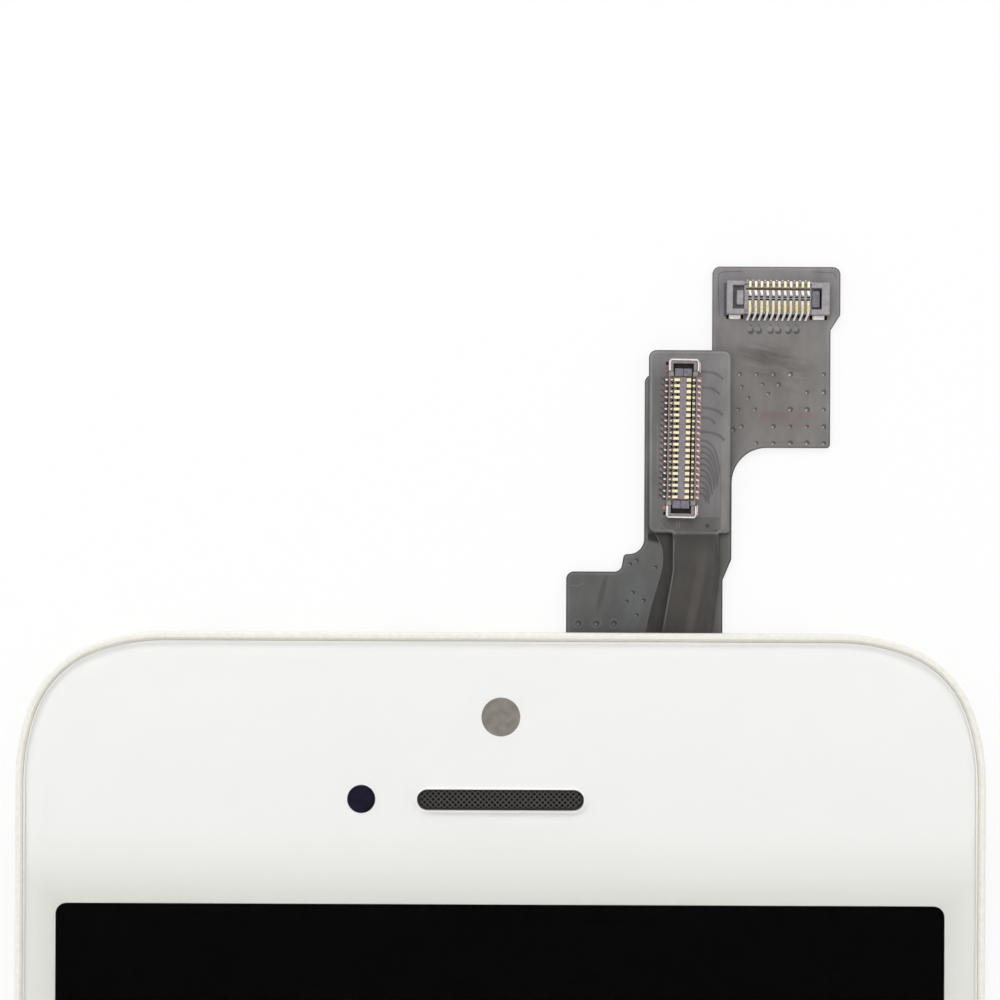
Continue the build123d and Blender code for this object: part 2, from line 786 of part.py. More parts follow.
# Sensor bracket: small plastic frame round the sensor window
with BuildPart() as sensor_bracket:
    with BuildSketch(Plane.XY.offset(print_bottom - sensor_bracket_depth)):
        cut_plate(
            sensor_x - sensor_bracket_width / 2,
            sensor_x + sensor_bracket_width / 2,
            ear_y - sensor_bracket_height / 2,
            ear_y + sensor_bracket_height / 2,
            bracket_corner_cut,
        )
        with Locations((sensor_x, ear_y)):
            Rectangle(
                sensor_bracket_width - 2 * sensor_bracket_wall,
                sensor_bracket_height - 2 * sensor_bracket_wall,
                mode=Mode.SUBTRACT,
            )
    extrude(amount=sensor_bracket_depth)
sensor_bracket.part.label = "sensor_bracket"
export_step(sensor_bracket.part, "parts/sensor_bracket.step")

# Button gasket: rubber ring round the button hole
with BuildPart() as button_gasket:
    with BuildSketch(Plane.XY.offset(print_bottom - button_gasket_thickness)):
        with Locations((0, button_y)):
            Circle(button_seat_radius)
            Circle(button_gasket_radius, mode=Mode.SUBTRACT)
    extrude(amount=button_gasket_thickness)
button_gasket.part.label = "button_gasket"
export_step(button_gasket.part, "parts/button_gasket.step")

# Button bosses: tapped posts that hold the button's bracket
boss_y = button_y + boss_offset_y
with BuildPart() as button_bosses:
    with BuildSketch(Plane.XY.offset(print_bottom - boss_flange_thickness)):
        with Locations((0, boss_y)):
            with GridLocations(boss_spacing, 0, 2, 1):
                RegularPolygon(boss_flange_radius, 8)
    extrude(amount=boss_flange_thickness)
    with BuildSketch(Plane.XY.offset(print_bottom - boss_height)):
        with Locations((0, boss_y)):
            with GridLocations(boss_spacing, 0, 2, 1):
                Circle(boss_radius)
    extrude(amount=boss_height - boss_flange_thickness)
    with BuildSketch(Plane.XY.offset(print_bottom - boss_height)):
        with Locations((0, boss_y)):
            with GridLocations(boss_spacing, 0, 2, 1):
                Circle(boss_hole_radius)
    extrude(amount=boss_height - boss_flange_thickness, mode=Mode.SUBTRACT)
button_bosses.part.label = "button_bosses"
export_step(button_bosses.part, "parts/button_bosses.step")


def flex_bend(level, left, right):
    """Ribbon that leaves the ledge, bends down past the tray and runs on at the level."""
    start = panel_top - bond_setback - bond_length
    top_level = tft_top + flex_thickness / 2
    low_level = level + flex_thickness / 2
    brow = module_top + bend_start
    with BuildPart() as ribbon:
        with BuildSketch(Plane.YZ.offset(left)):
            with BuildLine():
                FilletPolyline(
                    (start, top_level),
                    (brow, top_level),
                    (brow + bend_run, low_level),
                    (brow + 2 * bend_run, low_level),
                    radius=bend_radius,
                )
            trace(line_width=flex_thickness)
        extrude(amount=right - left)
    return ribbon.part


# Touch flex: the lower, Z-shaped circuit, from the ledge to the small connector
touch_level = stiffener_thickness
flat_start = module_top + bend_start + 2 * bend_run
touch_plan = (
    ((touch_foot_left, flat_start), 0),
    ((touch_foot_right, flat_start), 0),
    ((touch_foot_right, ear_y), flex_corner),
    ((touch_neck_right, ear_y + touch_neck_right - touch_foot_right), flex_corner),
    ((touch_neck_right, touch_neck_top), flex_corner / 3),
    ((touch_spine_right, touch_spine_foot), flex_corner / 3),
    ((touch_spine_right, touch_pad_bottom), touch_inner_radius),
    ((touch_pad_right, touch_pad_bottom), flex_corner / 2),
    ((touch_pad_right, touch_step_y), flex_corner / 3),
    ((touch_head_right, touch_head_y), flex_corner / 3),
    ((touch_head_right, touch_top), flex_corner),
    ((touch_pad_left, touch_top), flex_corner),
    ((touch_pad_left, touch_spine_top), flex_corner),
    ((touch_spine_left, touch_spine_top), flex_corner),
    ((touch_spine_left, touch_shoulder_top), 2 * flex_corner),
    ((touch_shoulder_left, touch_shoulder_top), flex_corner / 2),
    ((touch_tab_right, touch_tab_top), flex_corner),
    ((touch_foot_left, touch_tab_top), flex_corner),
)
with BuildPart() as touch_flex:
    add(flex_bend(touch_level, touch_foot_left, touch_foot_right))
    with BuildSketch(Plane.XY.offset(touch_level)):
        with BuildLine():
            FilletPolyline(
                [point for point, radius in touch_plan],
                radius=[radius for point, radius in touch_plan],
                close=True,
            )
        make_face()
    extrude(amount=flex_thickness)
touch_flex.part.label = "touch_flex"
export_step(touch_flex.part, "parts/touch_flex.step")

# Touch stiffener: plate under the pad and head of the touch flex
with BuildPart() as touch_stiffener:
    with BuildSketch(Plane.XY.offset(touch_level - stiffener_thickness)):
        with BuildLine():
            Polyline(
                (touch_pad_left + stiffener_inset, touch_pad_bottom + touch_inner_radius),
                (touch_pad_right - stiffener_inset, touch_pad_bottom + touch_inner_radius),
                (touch_pad_right - stiffener_inset, touch_step_y),
                (touch_head_right - stiffener_inset, touch_head_y),
                (touch_head_right - stiffener_inset, touch_top - stiffener_inset),
                (touch_pad_left + stiffener_inset, touch_top - stiffener_inset),
                close=True,
            )
        make_face()
    extrude(amount=stiffener_thickness)
touch_stiffener.part.label = "touch_stiffener"
export_step(touch_stiffener.part, "parts/touch_stiffener.step")

# Display stiffener: plate under the pad of the display flex
touch_flex_top = touch_level + flex_thickness
display_level = touch_flex_top + display_flex_gap + display_stiffener_thickness
with BuildPart() as display_stiffener:
    with BuildSketch(Plane.XY.offset(display_level - display_stiffener_thickness)):
        span(
            display_pad_left + stiffener_inset,
            display_pad_right - stiffener_inset,
            display_pad_bottom + stiffener_inset,
            display_pad_top - stiffener_inset,
        )
    extrude(amount=display_stiffener_thickness)
display_stiffener.part.label = "display_stiffener"
export_step(display_stiffener.part, "parts/display_stiffener.step")

# Display flex: the upper circuit, from the ledge to the large connector
display_plan = (
    ((display_strip_left, flat_start), 0),
    ((display_strip_right, flat_start), 0),
    ((display_strip_right, display_neck_y), flex_corner),
    ((display_neck_right, display_neck_bend), flex_corner),
    ((display_neck_right, display_pad_bottom), flex_corner / 3),
    ((display_pad_right, display_pad_bottom), flex_corner / 3),
    ((display_pad_right, display_pad_top), flex_corner),
    ((display_pad_left, display_pad_top), flex_corner),
    ((display_pad_left, display_pad_bottom), flex_corner),
    ((display_neck_left, display_pad_bottom), flex_corner / 3),
    ((display_neck_left, display_neck_bend), flex_corner),
    ((display_strip_left, display_neck_y), flex_corner),
)
bond_bottom = panel_top - bond_setback - bond_length
with BuildPart() as display_flex:
    with BuildSketch(Plane.XY.offset(tft_top)):
        span(display_strip_left, display_foot_right, bond_bottom, panel_top - bond_setback)
    extrude(amount=flex_thickness)
    add(flex_bend(display_level, display_strip_left, display_strip_right))
    with BuildSketch(Plane.XY.offset(display_level)):
        with BuildLine():
            FilletPolyline(
                [point for point, radius in display_plan],
                radius=[radius for point, radius in display_plan],
                close=True,
            )
        make_face()
    extrude(amount=flex_thickness)
display_flex.part.label = "display_flex"
export_step(display_flex.part, "parts/display_flex.step")


def connector_plane(centre, turn, height):
    """Plane on a flex with X across the connector's contacts' rows and Y along them."""
    return Plane(
        origin=(centre[0], centre[1], height),
        x_dir=(cos(radians(turn)), sin(radians(turn)), 0),
        z_dir=(0, 0, 1),
    )


def connector_housing(plane, length, half_width, island, rows):
    """Walls and island of a connector, open below and raised where the contacts leave."""
    channel_length = rows * contact_pitch + contact_pitch / 2
    channel_width = half_width - connector_wall - island / 2
    channel_spacing = half_width - connector_wall + island / 2
    well_spacing = length - 4 * connector_wall - contact_pitch
    with BuildPart() as housing:
        with BuildSketch(plane):
            RectangleRounded(2 * half_width, length, connector_wall / 2)
        extrude(amount=connector_height)
        with BuildSketch(plane):
            with GridLocations(channel_spacing, 0, 2, 1):
                Rectangle(channel_width, channel_length)
        extrude(amount=connector_height, mode=Mode.SUBTRACT)
        with BuildSketch(plane):
            Rectangle(2 * half_width, channel_length)
        extrude(amount=contact_sheet + contact_clearance, mode=Mode.SUBTRACT)
        with BuildSketch(plane.offset(connector_height - island_drop)):
            Rectangle(island, length - 4 * connector_wall)
            with GridLocations(0, well_spacing, 1, 2):
                Rectangle(channel_spacing, contact_pitch)
        extrude(amount=island_drop, mode=Mode.SUBTRACT)
    return housing


def contact_pair(half_width, island, tail_reach):
    """One contact on each side of the island, bent from a strip."""
    outer = half_width - connector_wall - contact_clearance
    inner = island / 2 + contact_clearance
    flag = (outer - inner) * contact_flag_share
    crown = connector_height - island_drop
    with BuildPart() as pair:
        with BuildSketch(Plane.XZ.offset(-contact_width / 2)):
            with BuildLine():
                Polyline(
                    (tail_reach, 0),
                    (tail_reach, contact_sheet),
                    (outer, contact_sheet),
                    (outer, crown),
                    (outer - flag, crown),
                    ((outer + inner) / 2, contact_sheet),
                    (inner + flag, crown),
                    (inner, crown),
                    (inner, 0),
                    close=True,
                )
            make_face()
            mirror(about=Plane.YZ)
        extrude(amount=contact_width)
    return pair.part


# Display connector housing
display_flex_top = display_level + flex_thickness
display_plane = connector_plane(display_connector_centre, display_connector_turn, display_flex_top)
display_connector_housing = connector_housing(
    display_plane,
    display_connector_length,
    display_half_width,
    display_island,
    display_contact_rows,
)
display_connector_housing.part.label = "display_connector_housing"
export_step(display_connector_housing.part, "parts/display_connector_housing.step")

# Display connector contacts: two rows bent from gold-plated strip
display_pair = contact_pair(display_half_width, display_island, display_tail_reach)
with BuildPart(display_plane) as display_connector_contacts:
    with GridLocations(0, contact_pitch, 1, display_contact_rows):
        add(display_pair)
display_connector_contacts.part.label = "display_connector_contacts"
export_step(display_connector_contacts.part, "parts/display_connector_contacts.step")

# Display connector nails: steel clips round each end of the housing
nail_half_width = display_half_width + nail_sheet
nail_end = display_connector_length / 2 + nail_sheet
with BuildPart() as display_connector_nails:
    with BuildSketch(display_plane):
        for end in (-1, 1):
            with Locations((0, end * (nail_end - (display_nail_leg + nail_sheet) / 2))):
                Rectangle(2 * nail_half_width, display_nail_leg + nail_sheet)
        RectangleRounded(
            2 * display_half_width,
            display_connector_length,
            connector_wall / 2,
            mode=Mode.SUBTRACT,
        )
    extrude(amount=connector_height)
display_connector_nails.part.label = "display_connector_nails"
export_step(display_connector_nails.part, "parts/display_connector_nails.step")

# Touch connector housing
touch_plane = connector_plane(touch_connector_centre, touch_connector_turn, touch_flex_top)
touch_connector_housing = connector_housing(
    touch_plane,
    touch_connector_length,
    touch_half_width,
    touch_island,
    touch_contact_rows,
)
touch_connector_housing.part.label = "touch_connector_housing"
export_step(touch_connector_housing.part, "parts/touch_connector_housing.step")

# Touch connector contacts
touch_pair = contact_pair(touch_half_width, touch_island, touch_tail_reach)
with BuildPart(touch_plane) as touch_connector_contacts:
    with GridLocations(0, contact_pitch, 1, touch_contact_rows):
        add(touch_pair)
touch_connector_contacts.part.label = "touch_connector_contacts"
export_step(touch_connector_contacts.part, "parts/touch_connector_contacts.step")

# Touch connector nails: flat solder pads at the two corners nearest the pad
with BuildPart() as touch_connector_nails:
    with BuildSketch(touch_plane):
        nail_across = -touch_half_width - touch_nail_width / 2
        nail_along = touch_connector_length - touch_nail_length
        with Locations((nail_across, 0)):
            with GridLocations(0, nail_along, 1, 2):
                Rectangle(touch_nail_width, touch_nail_length)
    extrude(amount=solder_nail_thickness)
touch_connector_nails.part.label = "touch_connector_nails"
export_step(touch_connector_nails.part, "parts/touch_connector_nails.step")
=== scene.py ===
from math import atan, atan2, hypot, pi, radians, sin, sqrt

import bpy
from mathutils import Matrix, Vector


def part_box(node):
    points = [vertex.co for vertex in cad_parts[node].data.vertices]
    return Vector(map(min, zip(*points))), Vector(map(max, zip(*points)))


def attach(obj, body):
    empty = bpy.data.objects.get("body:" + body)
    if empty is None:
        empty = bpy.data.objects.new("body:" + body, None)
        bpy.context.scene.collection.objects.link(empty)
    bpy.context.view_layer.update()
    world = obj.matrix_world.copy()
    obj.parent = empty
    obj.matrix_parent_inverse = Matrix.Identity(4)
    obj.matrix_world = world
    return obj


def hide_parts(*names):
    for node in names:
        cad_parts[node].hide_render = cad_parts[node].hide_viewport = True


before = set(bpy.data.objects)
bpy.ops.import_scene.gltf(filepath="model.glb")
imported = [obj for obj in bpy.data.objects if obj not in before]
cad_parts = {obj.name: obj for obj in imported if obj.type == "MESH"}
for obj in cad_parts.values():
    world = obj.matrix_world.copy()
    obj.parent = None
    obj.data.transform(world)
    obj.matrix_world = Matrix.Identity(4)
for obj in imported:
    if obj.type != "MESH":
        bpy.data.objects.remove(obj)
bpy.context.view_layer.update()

# Backlight. A folded steel tray holds a white moulded frame, a reflector, an
# acrylic guide and three films, and a strip of LEDs shines in at its top end.
mm = 0.001
dark_share = 0.32
light_share = 0.68
duller = 1.2
glossier = 0.85
relief_grain = 6


def paint(red, green, blue):
    """Shader colour that renders as this screen colour."""
    screen = (red / 255, green / 255, blue / 255)
    linear = [c / 12.92 if c <= 0.04045 else ((c + 0.055) / 1.055) ** 2.4 for c in screen]
    return (*linear, 1)


def finish(name, colour, roughness, metallic=0.0, specular=0.5):
    """Material with one Principled shader, returned with the shader."""
    material = bpy.data.materials.new(name)
    material.use_nodes = True
    shader = material.node_tree.nodes["Principled BSDF"]
    shader.inputs["Base Color"].default_value = paint(*colour)
    shader.inputs["Roughness"].default_value = roughness
    shader.inputs["Metallic"].default_value = metallic
    shader.inputs["Specular IOR Level"].default_value = specular
    return material, shader


def node(material, kind, **settings):
    """New shader node with its settings."""
    made = material.node_tree.nodes.new(kind)
    for key, value in settings.items():
        setattr(made, key, value)
    return made


def link(material, source, target):
    """Wire between two sockets of a material."""
    material.node_tree.links.new(source, target)


def placed(material, turn, scale, centre=(0, 0, 0)):
    """Object coordinates about a centre, turned and scaled."""
    place = node(material, "ShaderNodeTexCoord")
    mapping = node(material, "ShaderNodeMapping", vector_type="TEXTURE")
    mapping.inputs["Location"].default_value = centre
    mapping.inputs["Rotation"].default_value = (0, 0, turn)
    mapping.inputs["Scale"].default_value = scale
    link(material, place.outputs["Object"], mapping.inputs["Vector"])
    return mapping.outputs["Vector"]


def noise(material, grain, detail=3.0, stretch=(1, 1, 1), turn=0.0):
    """Noise in object space, with the given number of features to a millimetre."""
    pattern = node(material, "ShaderNodeTexNoise")
    pattern.inputs["Scale"].default_value = grain / mm
    pattern.inputs["Detail"].default_value = detail
    place = placed(material, turn, [1 / factor for factor in stretch])
    link(material, place, pattern.inputs["Vector"])
    return pattern.outputs["Fac"]


def ramp(material, factor, stops):
    """Colour ramp over (position, screen colour) stops."""
    made = node(material, "ShaderNodeValToRGB")
    made.color_ramp.elements[0].position = stops[0][0]
    made.color_ramp.elements[1].position = stops[-1][0]
    for position, _ in stops[1:-1]:
        made.color_ramp.elements.new(position)
    for element, (_, colour) in zip(made.color_ramp.elements, stops):
        element.color = paint(*colour)
    link(material, factor, made.inputs["Fac"])
    return made.outputs["Color"]


def spread(material, factor, low, high, start=0.3, end=0.7):
    """Map of a factor's range to low and high."""
    made = node(material, "ShaderNodeMapRange")
    made.inputs["From Min"].default_value = start
    made.inputs["From Max"].default_value = end
    made.inputs["To Min"].default_value = low
    made.inputs["To Max"].default_value = high
    link(material, factor, made.inputs["Value"])
    return made.outputs["Result"]


def relief(material, shader, height, distance):
    """Bump of the given height on a shader."""
    made = node(material, "ShaderNodeBump")
    made.inputs["Distance"].default_value = distance
    link(material, height, made.inputs["Height"])
    link(material, made.outputs["Normal"], shader.inputs["Normal"])


def mottled(name, light, dark, roughness, grain, depth, metallic=0.0, specular=0.5, **pattern):
    """Finish whose colour, gloss and surface wander with noise."""
    material, shader = finish(name, light, roughness, metallic, specular)
    cloud = noise(material, grain, **pattern)
    tones = ((dark_share, dark), (light_share, light))
    link(material, ramp(material, cloud, tones), shader.inputs["Base Color"])
    gloss = spread(material, cloud, min(1.0, roughness * duller), roughness * glossier)
    link(material, gloss, shader.inputs["Roughness"])
    relief(material, shader, noise(material, grain * relief_grain, detail=2.0), depth)
    return material


def dress(piece, *materials):
    """Puts the materials in the piece's slots, the first one on all faces."""
    piece.data.materials.clear()
    for material in materials:
        piece.data.materials.append(material)


def dress_nodes(material, *names):
    """Material of the CAD nodes that stay."""
    for name in names:
        dress(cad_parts[name], material)


tray_steel = mottled(
    "tray_steel", (186, 188, 190), (158, 160, 163), 0.36, 3.0, 0.002 * mm, metallic=0.9, stretch=(1, 14, 1)
)
dress_nodes(tray_steel, "backlight_tray")
backlight_white = mottled("backlight_white", (236, 236, 234), (226, 226, 224), 0.45, 3.0, 0.002 * mm)
dress_nodes(backlight_white, "backlight_frame")
reflector_film = mottled("reflector_film", (238, 240, 242), (228, 230, 233), 0.4, 3.0, 0.002 * mm)
dress_nodes(reflector_film, "reflector_sheet")
guide_acrylic = mottled("guide_acrylic", (224, 228, 230), (210, 216, 219), 0.12, 2.0, 0.001 * mm)
dress_nodes(guide_acrylic, "light_guide_plate")
prism_film = mottled("prism_film", (214, 218, 220), (198, 203, 206), 0.3, 2.0, 0.002 * mm, stretch=(1, 30, 1))
dress_nodes(prism_film, "upper_prism_sheet", "lower_prism_sheet", "diffuser_sheet")
strip_film = mottled("strip_film", (216, 215, 205), (203, 202, 190), 0.5, 3.0, 0.002 * mm)
dress_nodes(strip_film, "led_strip")
led_resin = mottled("led_resin", (232, 212, 110), (220, 196, 88), 0.3, 5.0, 0.002 * mm)
dress_nodes(led_resin, "backlight_leds")

# Display panel. Two thin glasses with a polarizer on each side, laminated to
# the cover glass with a clear adhesive. It is black while it is switched off.
rear_film = mottled("rear_polarizer_film", (60, 60, 64), (50, 50, 54), 0.25, 2.0, 0.001 * mm)
dress_nodes(rear_film, "rear_polarizer")
panel_glass = mottled("panel_glass", (92, 98, 97), (80, 86, 86), 0.08, 1.0, 0.0005 * mm)
dress_nodes(panel_glass, "tft_glass", "color_filter_glass")
bare_die = mottled("bare_die", (70, 70, 76), (58, 58, 64), 0.3, 4.0, 0.001 * mm)
dress_nodes(bare_die, "driver_chip")
dark_film = mottled("front_polarizer_film", (5, 5, 5), (4, 4, 4), 0.4, 2.0, 0.001 * mm, specular=0.0)
dress_nodes(dark_film, "front_polarizer")
clear_adhesive = mottled("clear_adhesive", (6, 6, 6), (4, 4, 4), 0.4, 2.0, 0.001 * mm, specular=0.0)
dress_nodes(clear_adhesive, "optical_adhesive")

# Cover glass. A plate of strengthened glass, cut to outline, slotted for the
# earpiece, bored for the button and ground pale at its edges. It is bonded to
# the print and the display, and a thin line of air stands for the bond.
bond_line = 0.01 * mm
weld_distance = 0.0005 * mm
flat_angle = radians(1)
rounded_angle = 40
upright_slope = 0.3
glass_index = 1.5
glass_lets_through = 0.97
edge_lets_through = 0.95


def activate(piece):
    """Makes the piece the only one selected."""
    bpy.ops.object.select_all(action="DESELECT")
    piece.select_set(True)
    bpy.context.view_layer.objects.active = piece


def pick(piece, wanted, kind="FACE"):
    """Opens the piece in edit mode with the wanted faces, edges or corners selected."""
    activate(piece)
    bpy.ops.object.mode_set(mode="EDIT")
    bpy.ops.mesh.select_mode(type=kind)
    bpy.ops.mesh.select_all(action="DESELECT")
    bpy.ops.object.mode_set(mode="OBJECT")
    mesh = piece.data
    elements = {"FACE": mesh.polygons, "EDGE": mesh.edges, "VERT": mesh.vertices}[kind]
    for element in elements:
        element.select = bool(wanted(element))
    bpy.ops.object.mode_set(mode="EDIT")


def close(piece):
    """Back to object mode."""
    bpy.ops.object.mode_set(mode="OBJECT")
    return piece


def twin(source, name):
    """Merged copy of a CAD node's mesh, with its flat faces whole."""
    piece = bpy.data.objects.new(name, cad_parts[source].data.copy())
    bpy.context.scene.collection.objects.link(piece)
    pick(piece, lambda face: True)
    bpy.ops.mesh.remove_doubles(threshold=weld_distance)
    bpy.ops.mesh.dissolve_limited(angle_limit=flat_angle)
    bpy.ops.mesh.customdata_custom_splitnormals_clear()
    return close(piece)


def settle(piece, slot, *nodes):
    """Ties a finished piece to the object and hides the nodes it stands for; the slot is not used."""
    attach(piece, "root")
    if nodes:
        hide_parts(*nodes)


def smooth(piece, angle=30):
    """Smooth shading below the angle."""
    activate(piece)
    bpy.ops.object.shade_smooth_by_angle(angle=radians(angle))


def lit_through(material, share):
    """Lets a share of the light through where the material would cast a shadow."""
    nodes = material.node_tree.nodes
    bare = node(material, "ShaderNodeBsdfTransparent")
    path = node(material, "ShaderNodeLightPath")
    mix = node(material, "ShaderNodeMixShader")
    passed = spread(material, path.outputs["Is Shadow Ray"], 0.0, share, 0.0, 1.0)
    link(material, passed, mix.inputs["Fac"])
    link(material, nodes["Principled BSDF"].outputs["BSDF"], mix.inputs[1])
    link(material, bare.outputs["BSDF"], mix.inputs[2])
    link(material, mix.outputs["Shader"], nodes["Material Output"].inputs["Surface"])


glass_low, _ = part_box("cover_glass")
glass_plate = twin("cover_glass", "glass_plate")
pick(glass_plate, lambda corner: corner.co.z < glass_low.z + bond_line, "VERT")
bpy.ops.transform.translate(value=(0, 0, bond_line))
close(glass_plate)
smooth(glass_plate, rounded_angle)
clear_glass, glass_shader = finish("strengthened_glass", (255, 255, 255), 0.02)
glass_shader.inputs["Transmission Weight"].default_value = 1.0
glass_shader.inputs["IOR"].default_value = glass_index
relief(clear_glass, glass_shader, noise(clear_glass, 0.05, detail=1.0), 0.0001 * mm)
lit_through(clear_glass, glass_lets_through)
ground_edge = mottled("ground_edge", (240, 238, 232), (232, 230, 224), 0.6, 6.0, 0.001 * mm, specular=0.2)
lit_through(ground_edge, edge_lets_through)
dress(glass_plate, clear_glass, ground_edge)
pick(glass_plate, lambda face: abs(face.normal.z) < upright_slope)
glass_plate.active_material_index = 1
bpy.ops.object.material_slot_assign()
close(glass_plate)
settle(glass_plate, "cover_glass", "cover_glass")

# Border print. White ink screened on the back of the glass in several coats.
# Its colour is painted greyer towards where it ends round the window.
window_half_width = 25.85 * mm
window_half_length = 45.2 * mm
fade_width = 4.2 * mm


def reckon(material, operation, *terms):
    """Math node over sockets and plain numbers."""
    made = node(material, "ShaderNodeMath", operation=operation)
    for socket, term in zip(made.inputs, terms):
        if isinstance(term, float):
            socket.default_value = term
        else:
            link(material, term, socket)
    return made.outputs["Value"]


def axes(material, place=None):
    """The X, Y and Z of a place, or of the object coordinates."""
    made = node(material, "ShaderNodeSeparateXYZ")
    place = place or node(material, "ShaderNodeTexCoord").outputs["Object"]
    link(material, place, made.inputs["Vector"])
    return made.outputs


white_ink, ink_shader = finish("white_ink", (251, 251, 249), 0.55, specular=0.0)
ink_axes = axes(white_ink)
ink_gaps = []
for axis, half in (("X", window_half_width), ("Y", window_half_length)):
    size = reckon(white_ink, "ABSOLUTE", ink_axes[axis])
    ink_gaps.append(reckon(white_ink, "SUBTRACT", size, half))
ink_edge = reckon(white_ink, "MAXIMUM", *ink_gaps)
ink_fade = spread(white_ink, ink_edge, 0.0, 1.0, 0.0, fade_width)
ink_tones = ((0.0, (229, 230, 224)), (0.18, (236, 236, 231)), (0.5, (244, 244, 240)), (1.0, (251, 251, 249)))
link(white_ink, ramp(white_ink, ink_fade, ink_tones), ink_shader.inputs["Base Color"])
relief(white_ink, ink_shader, noise(white_ink, 2.0), 0.0001 * mm)
dress_nodes(white_ink, "border_print")

# Sensor dot and camera disc. Dark infrared ink fills the sensor's window of the
# print, and a mottled grey disc behind the camera's window is painted shade,
# standing for the shaded space seen through it.
infrared_ink = mottled("infrared_ink", (36, 33, 50), (27, 26, 38), 0.5, 1.6, 0.002 * mm, specular=0.0)
dress_nodes(infrared_ink, "sensor_ink")
grey_film = mottled(
    "grey_film", (150, 144, 136), (130, 124, 117), 0.5, 2.2, 0.003 * mm, specular=0.0, detail=5.0
)
dress_nodes(grey_film, "camera_window_film")

# Frame. Moulded in cream white plastic with a fine spark texture, as a ring
# round the glass and a skirt behind it that is open for the flexes. A bead of
# adhesive holds the glass in the ring's seat. The bead is painted pale, as
# painted light in the gap between the ring and the glass.
plastic_lets_through = 0.9
cream_plastic = mottled(
    "cream_plastic", (244, 241, 234), (236, 233, 225), 0.45, 3.5, 0.0015 * mm, specular=0.3
)
lit_through(cream_plastic, plastic_lets_through)
dress_nodes(cream_plastic, "bezel_frame", "frame_skirt")
lightened_glue_bead = mottled("lightened_glue_bead", (226, 223, 216), (212, 209, 202), 0.6, 4.0, 0.004 * mm)
dress_nodes(lightened_glue_bead, "frame_adhesive")

# Steel fittings. Rails and hooks cut and bent from stainless sheet, angles and
# posts tapped for screws, fixed to the skirt or behind the glass.
stamped_steel = mottled(
    "stamped_steel", (192, 192, 190), (164, 164, 163), 0.34, 3.0, 0.002 * mm, metallic=0.9, stretch=(1, 9, 1)
)
dress_nodes(stamped_steel, "left_rail", "right_rail", "top_hooks", "bottom_ears", "button_bosses")

# Seats behind the glass. Foam under the mesh, black moulded seats for the
# speaker, the camera and the sensor, and a rubber ring round the button.
black_foam = mottled("black_foam", (52, 52, 52), (34, 34, 34), 0.85, 8.0, 0.02 * mm)
dress_nodes(black_foam, "mesh_gasket")
black_plastic = mottled("black_plastic", (48, 48, 49), (38, 38, 39), 0.5, 4.0, 0.004 * mm)
dress_nodes(black_plastic, "earpiece_bracket", "camera_ring", "sensor_bracket")
soft_rubber = mottled("soft_rubber", (46, 46, 46), (36, 36, 36), 0.7, 4.0, 0.004 * mm)
dress_nodes(soft_rubber, "button_gasket")

# Earpiece mesh. A blackened steel cup stands in the slot of the glass on its
# flange, with dark acoustic cloth on its floor and fine wires woven over it.
ear_low, ear_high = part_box("earpiece_mesh")
ear_middle = (ear_low + ear_high) / 2
ear_flange = 0.08 * mm
cup_half_length = 4.79 * mm
cup_half_height = 0.55 * mm
cup_wall = 0.05 * mm
cup_drop = 0.04 * mm
cup_depth = 0.24 * mm
cup_sides = 40
upward = 0.9
search_reach = cup_half_length * 1.2
search_step = 0.01 * mm
wire_radius = 0.036 * mm
wire_pitch = 0.231 * mm
wire_sides = 6
wire_step = 0.06 * mm
wire_swing = 0.9
wire_angle = 70
wire_level = ear_high.z - 0.13 * mm
wire_turns = {-1: -3 * pi / 4, 1: -pi / 4}


def fix_place():
    """Moves the selected pieces' place, turn and size into their meshes."""
    bpy.ops.object.transform_apply(location=True, rotation=True, scale=True)


def stadium(half_length, half_height, low, high):
    """Upright slab with round ends, about the middle of the earpiece."""
    bpy.ops.mesh.primitive_cylinder_add(
        vertices=cup_sides,
        radius=half_height,
        depth=high - low,
        location=(ear_middle.x, ear_middle.y, (low + high) / 2),
        rotation=(0, 0, pi / cup_sides),
    )
    piece = bpy.context.object
    fix_place()
    for side in (-1, 1):
        pick(piece, lambda corner: (corner.co.x - ear_middle.x) * side > 0, "VERT")
        bpy.ops.transform.translate(value=(side * (half_length - half_height), 0, 0))
        close(piece)
    return piece


def slot_reach(offset):
    """Places in the cup along a 45 degree line at an offset from the middle."""
    inside = []
    place = -search_reach
    while place < search_reach:
        across = abs(place - offset) / sqrt(2)
        up = (place + offset) / sqrt(2)
        past_straight = max(across - (cup_half_length - cup_half_height), 0)
        if hypot(past_straight, up) < cup_half_height - cup_wall:
            inside.append(place)
        place += search_step
    return inside


def edge_length(piece, edge):
    """Distance between the two ends of an edge."""
    start, end = [piece.data.vertices[index].co for index in edge.vertices]
    return (start - end).length


def join(parts, name):
    """One mesh piece made of several meshes or curves."""
    bpy.ops.object.select_all(action="DESELECT")
    for part in parts:
        part.select_set(True)
    bpy.context.view_layer.objects.active = parts[0]
    bpy.ops.object.convert(target="MESH")
    if len(parts) > 1:
        bpy.ops.object.join()
    piece = bpy.context.view_layer.objects.active
    piece.name = name
    fix_place()
    return piece


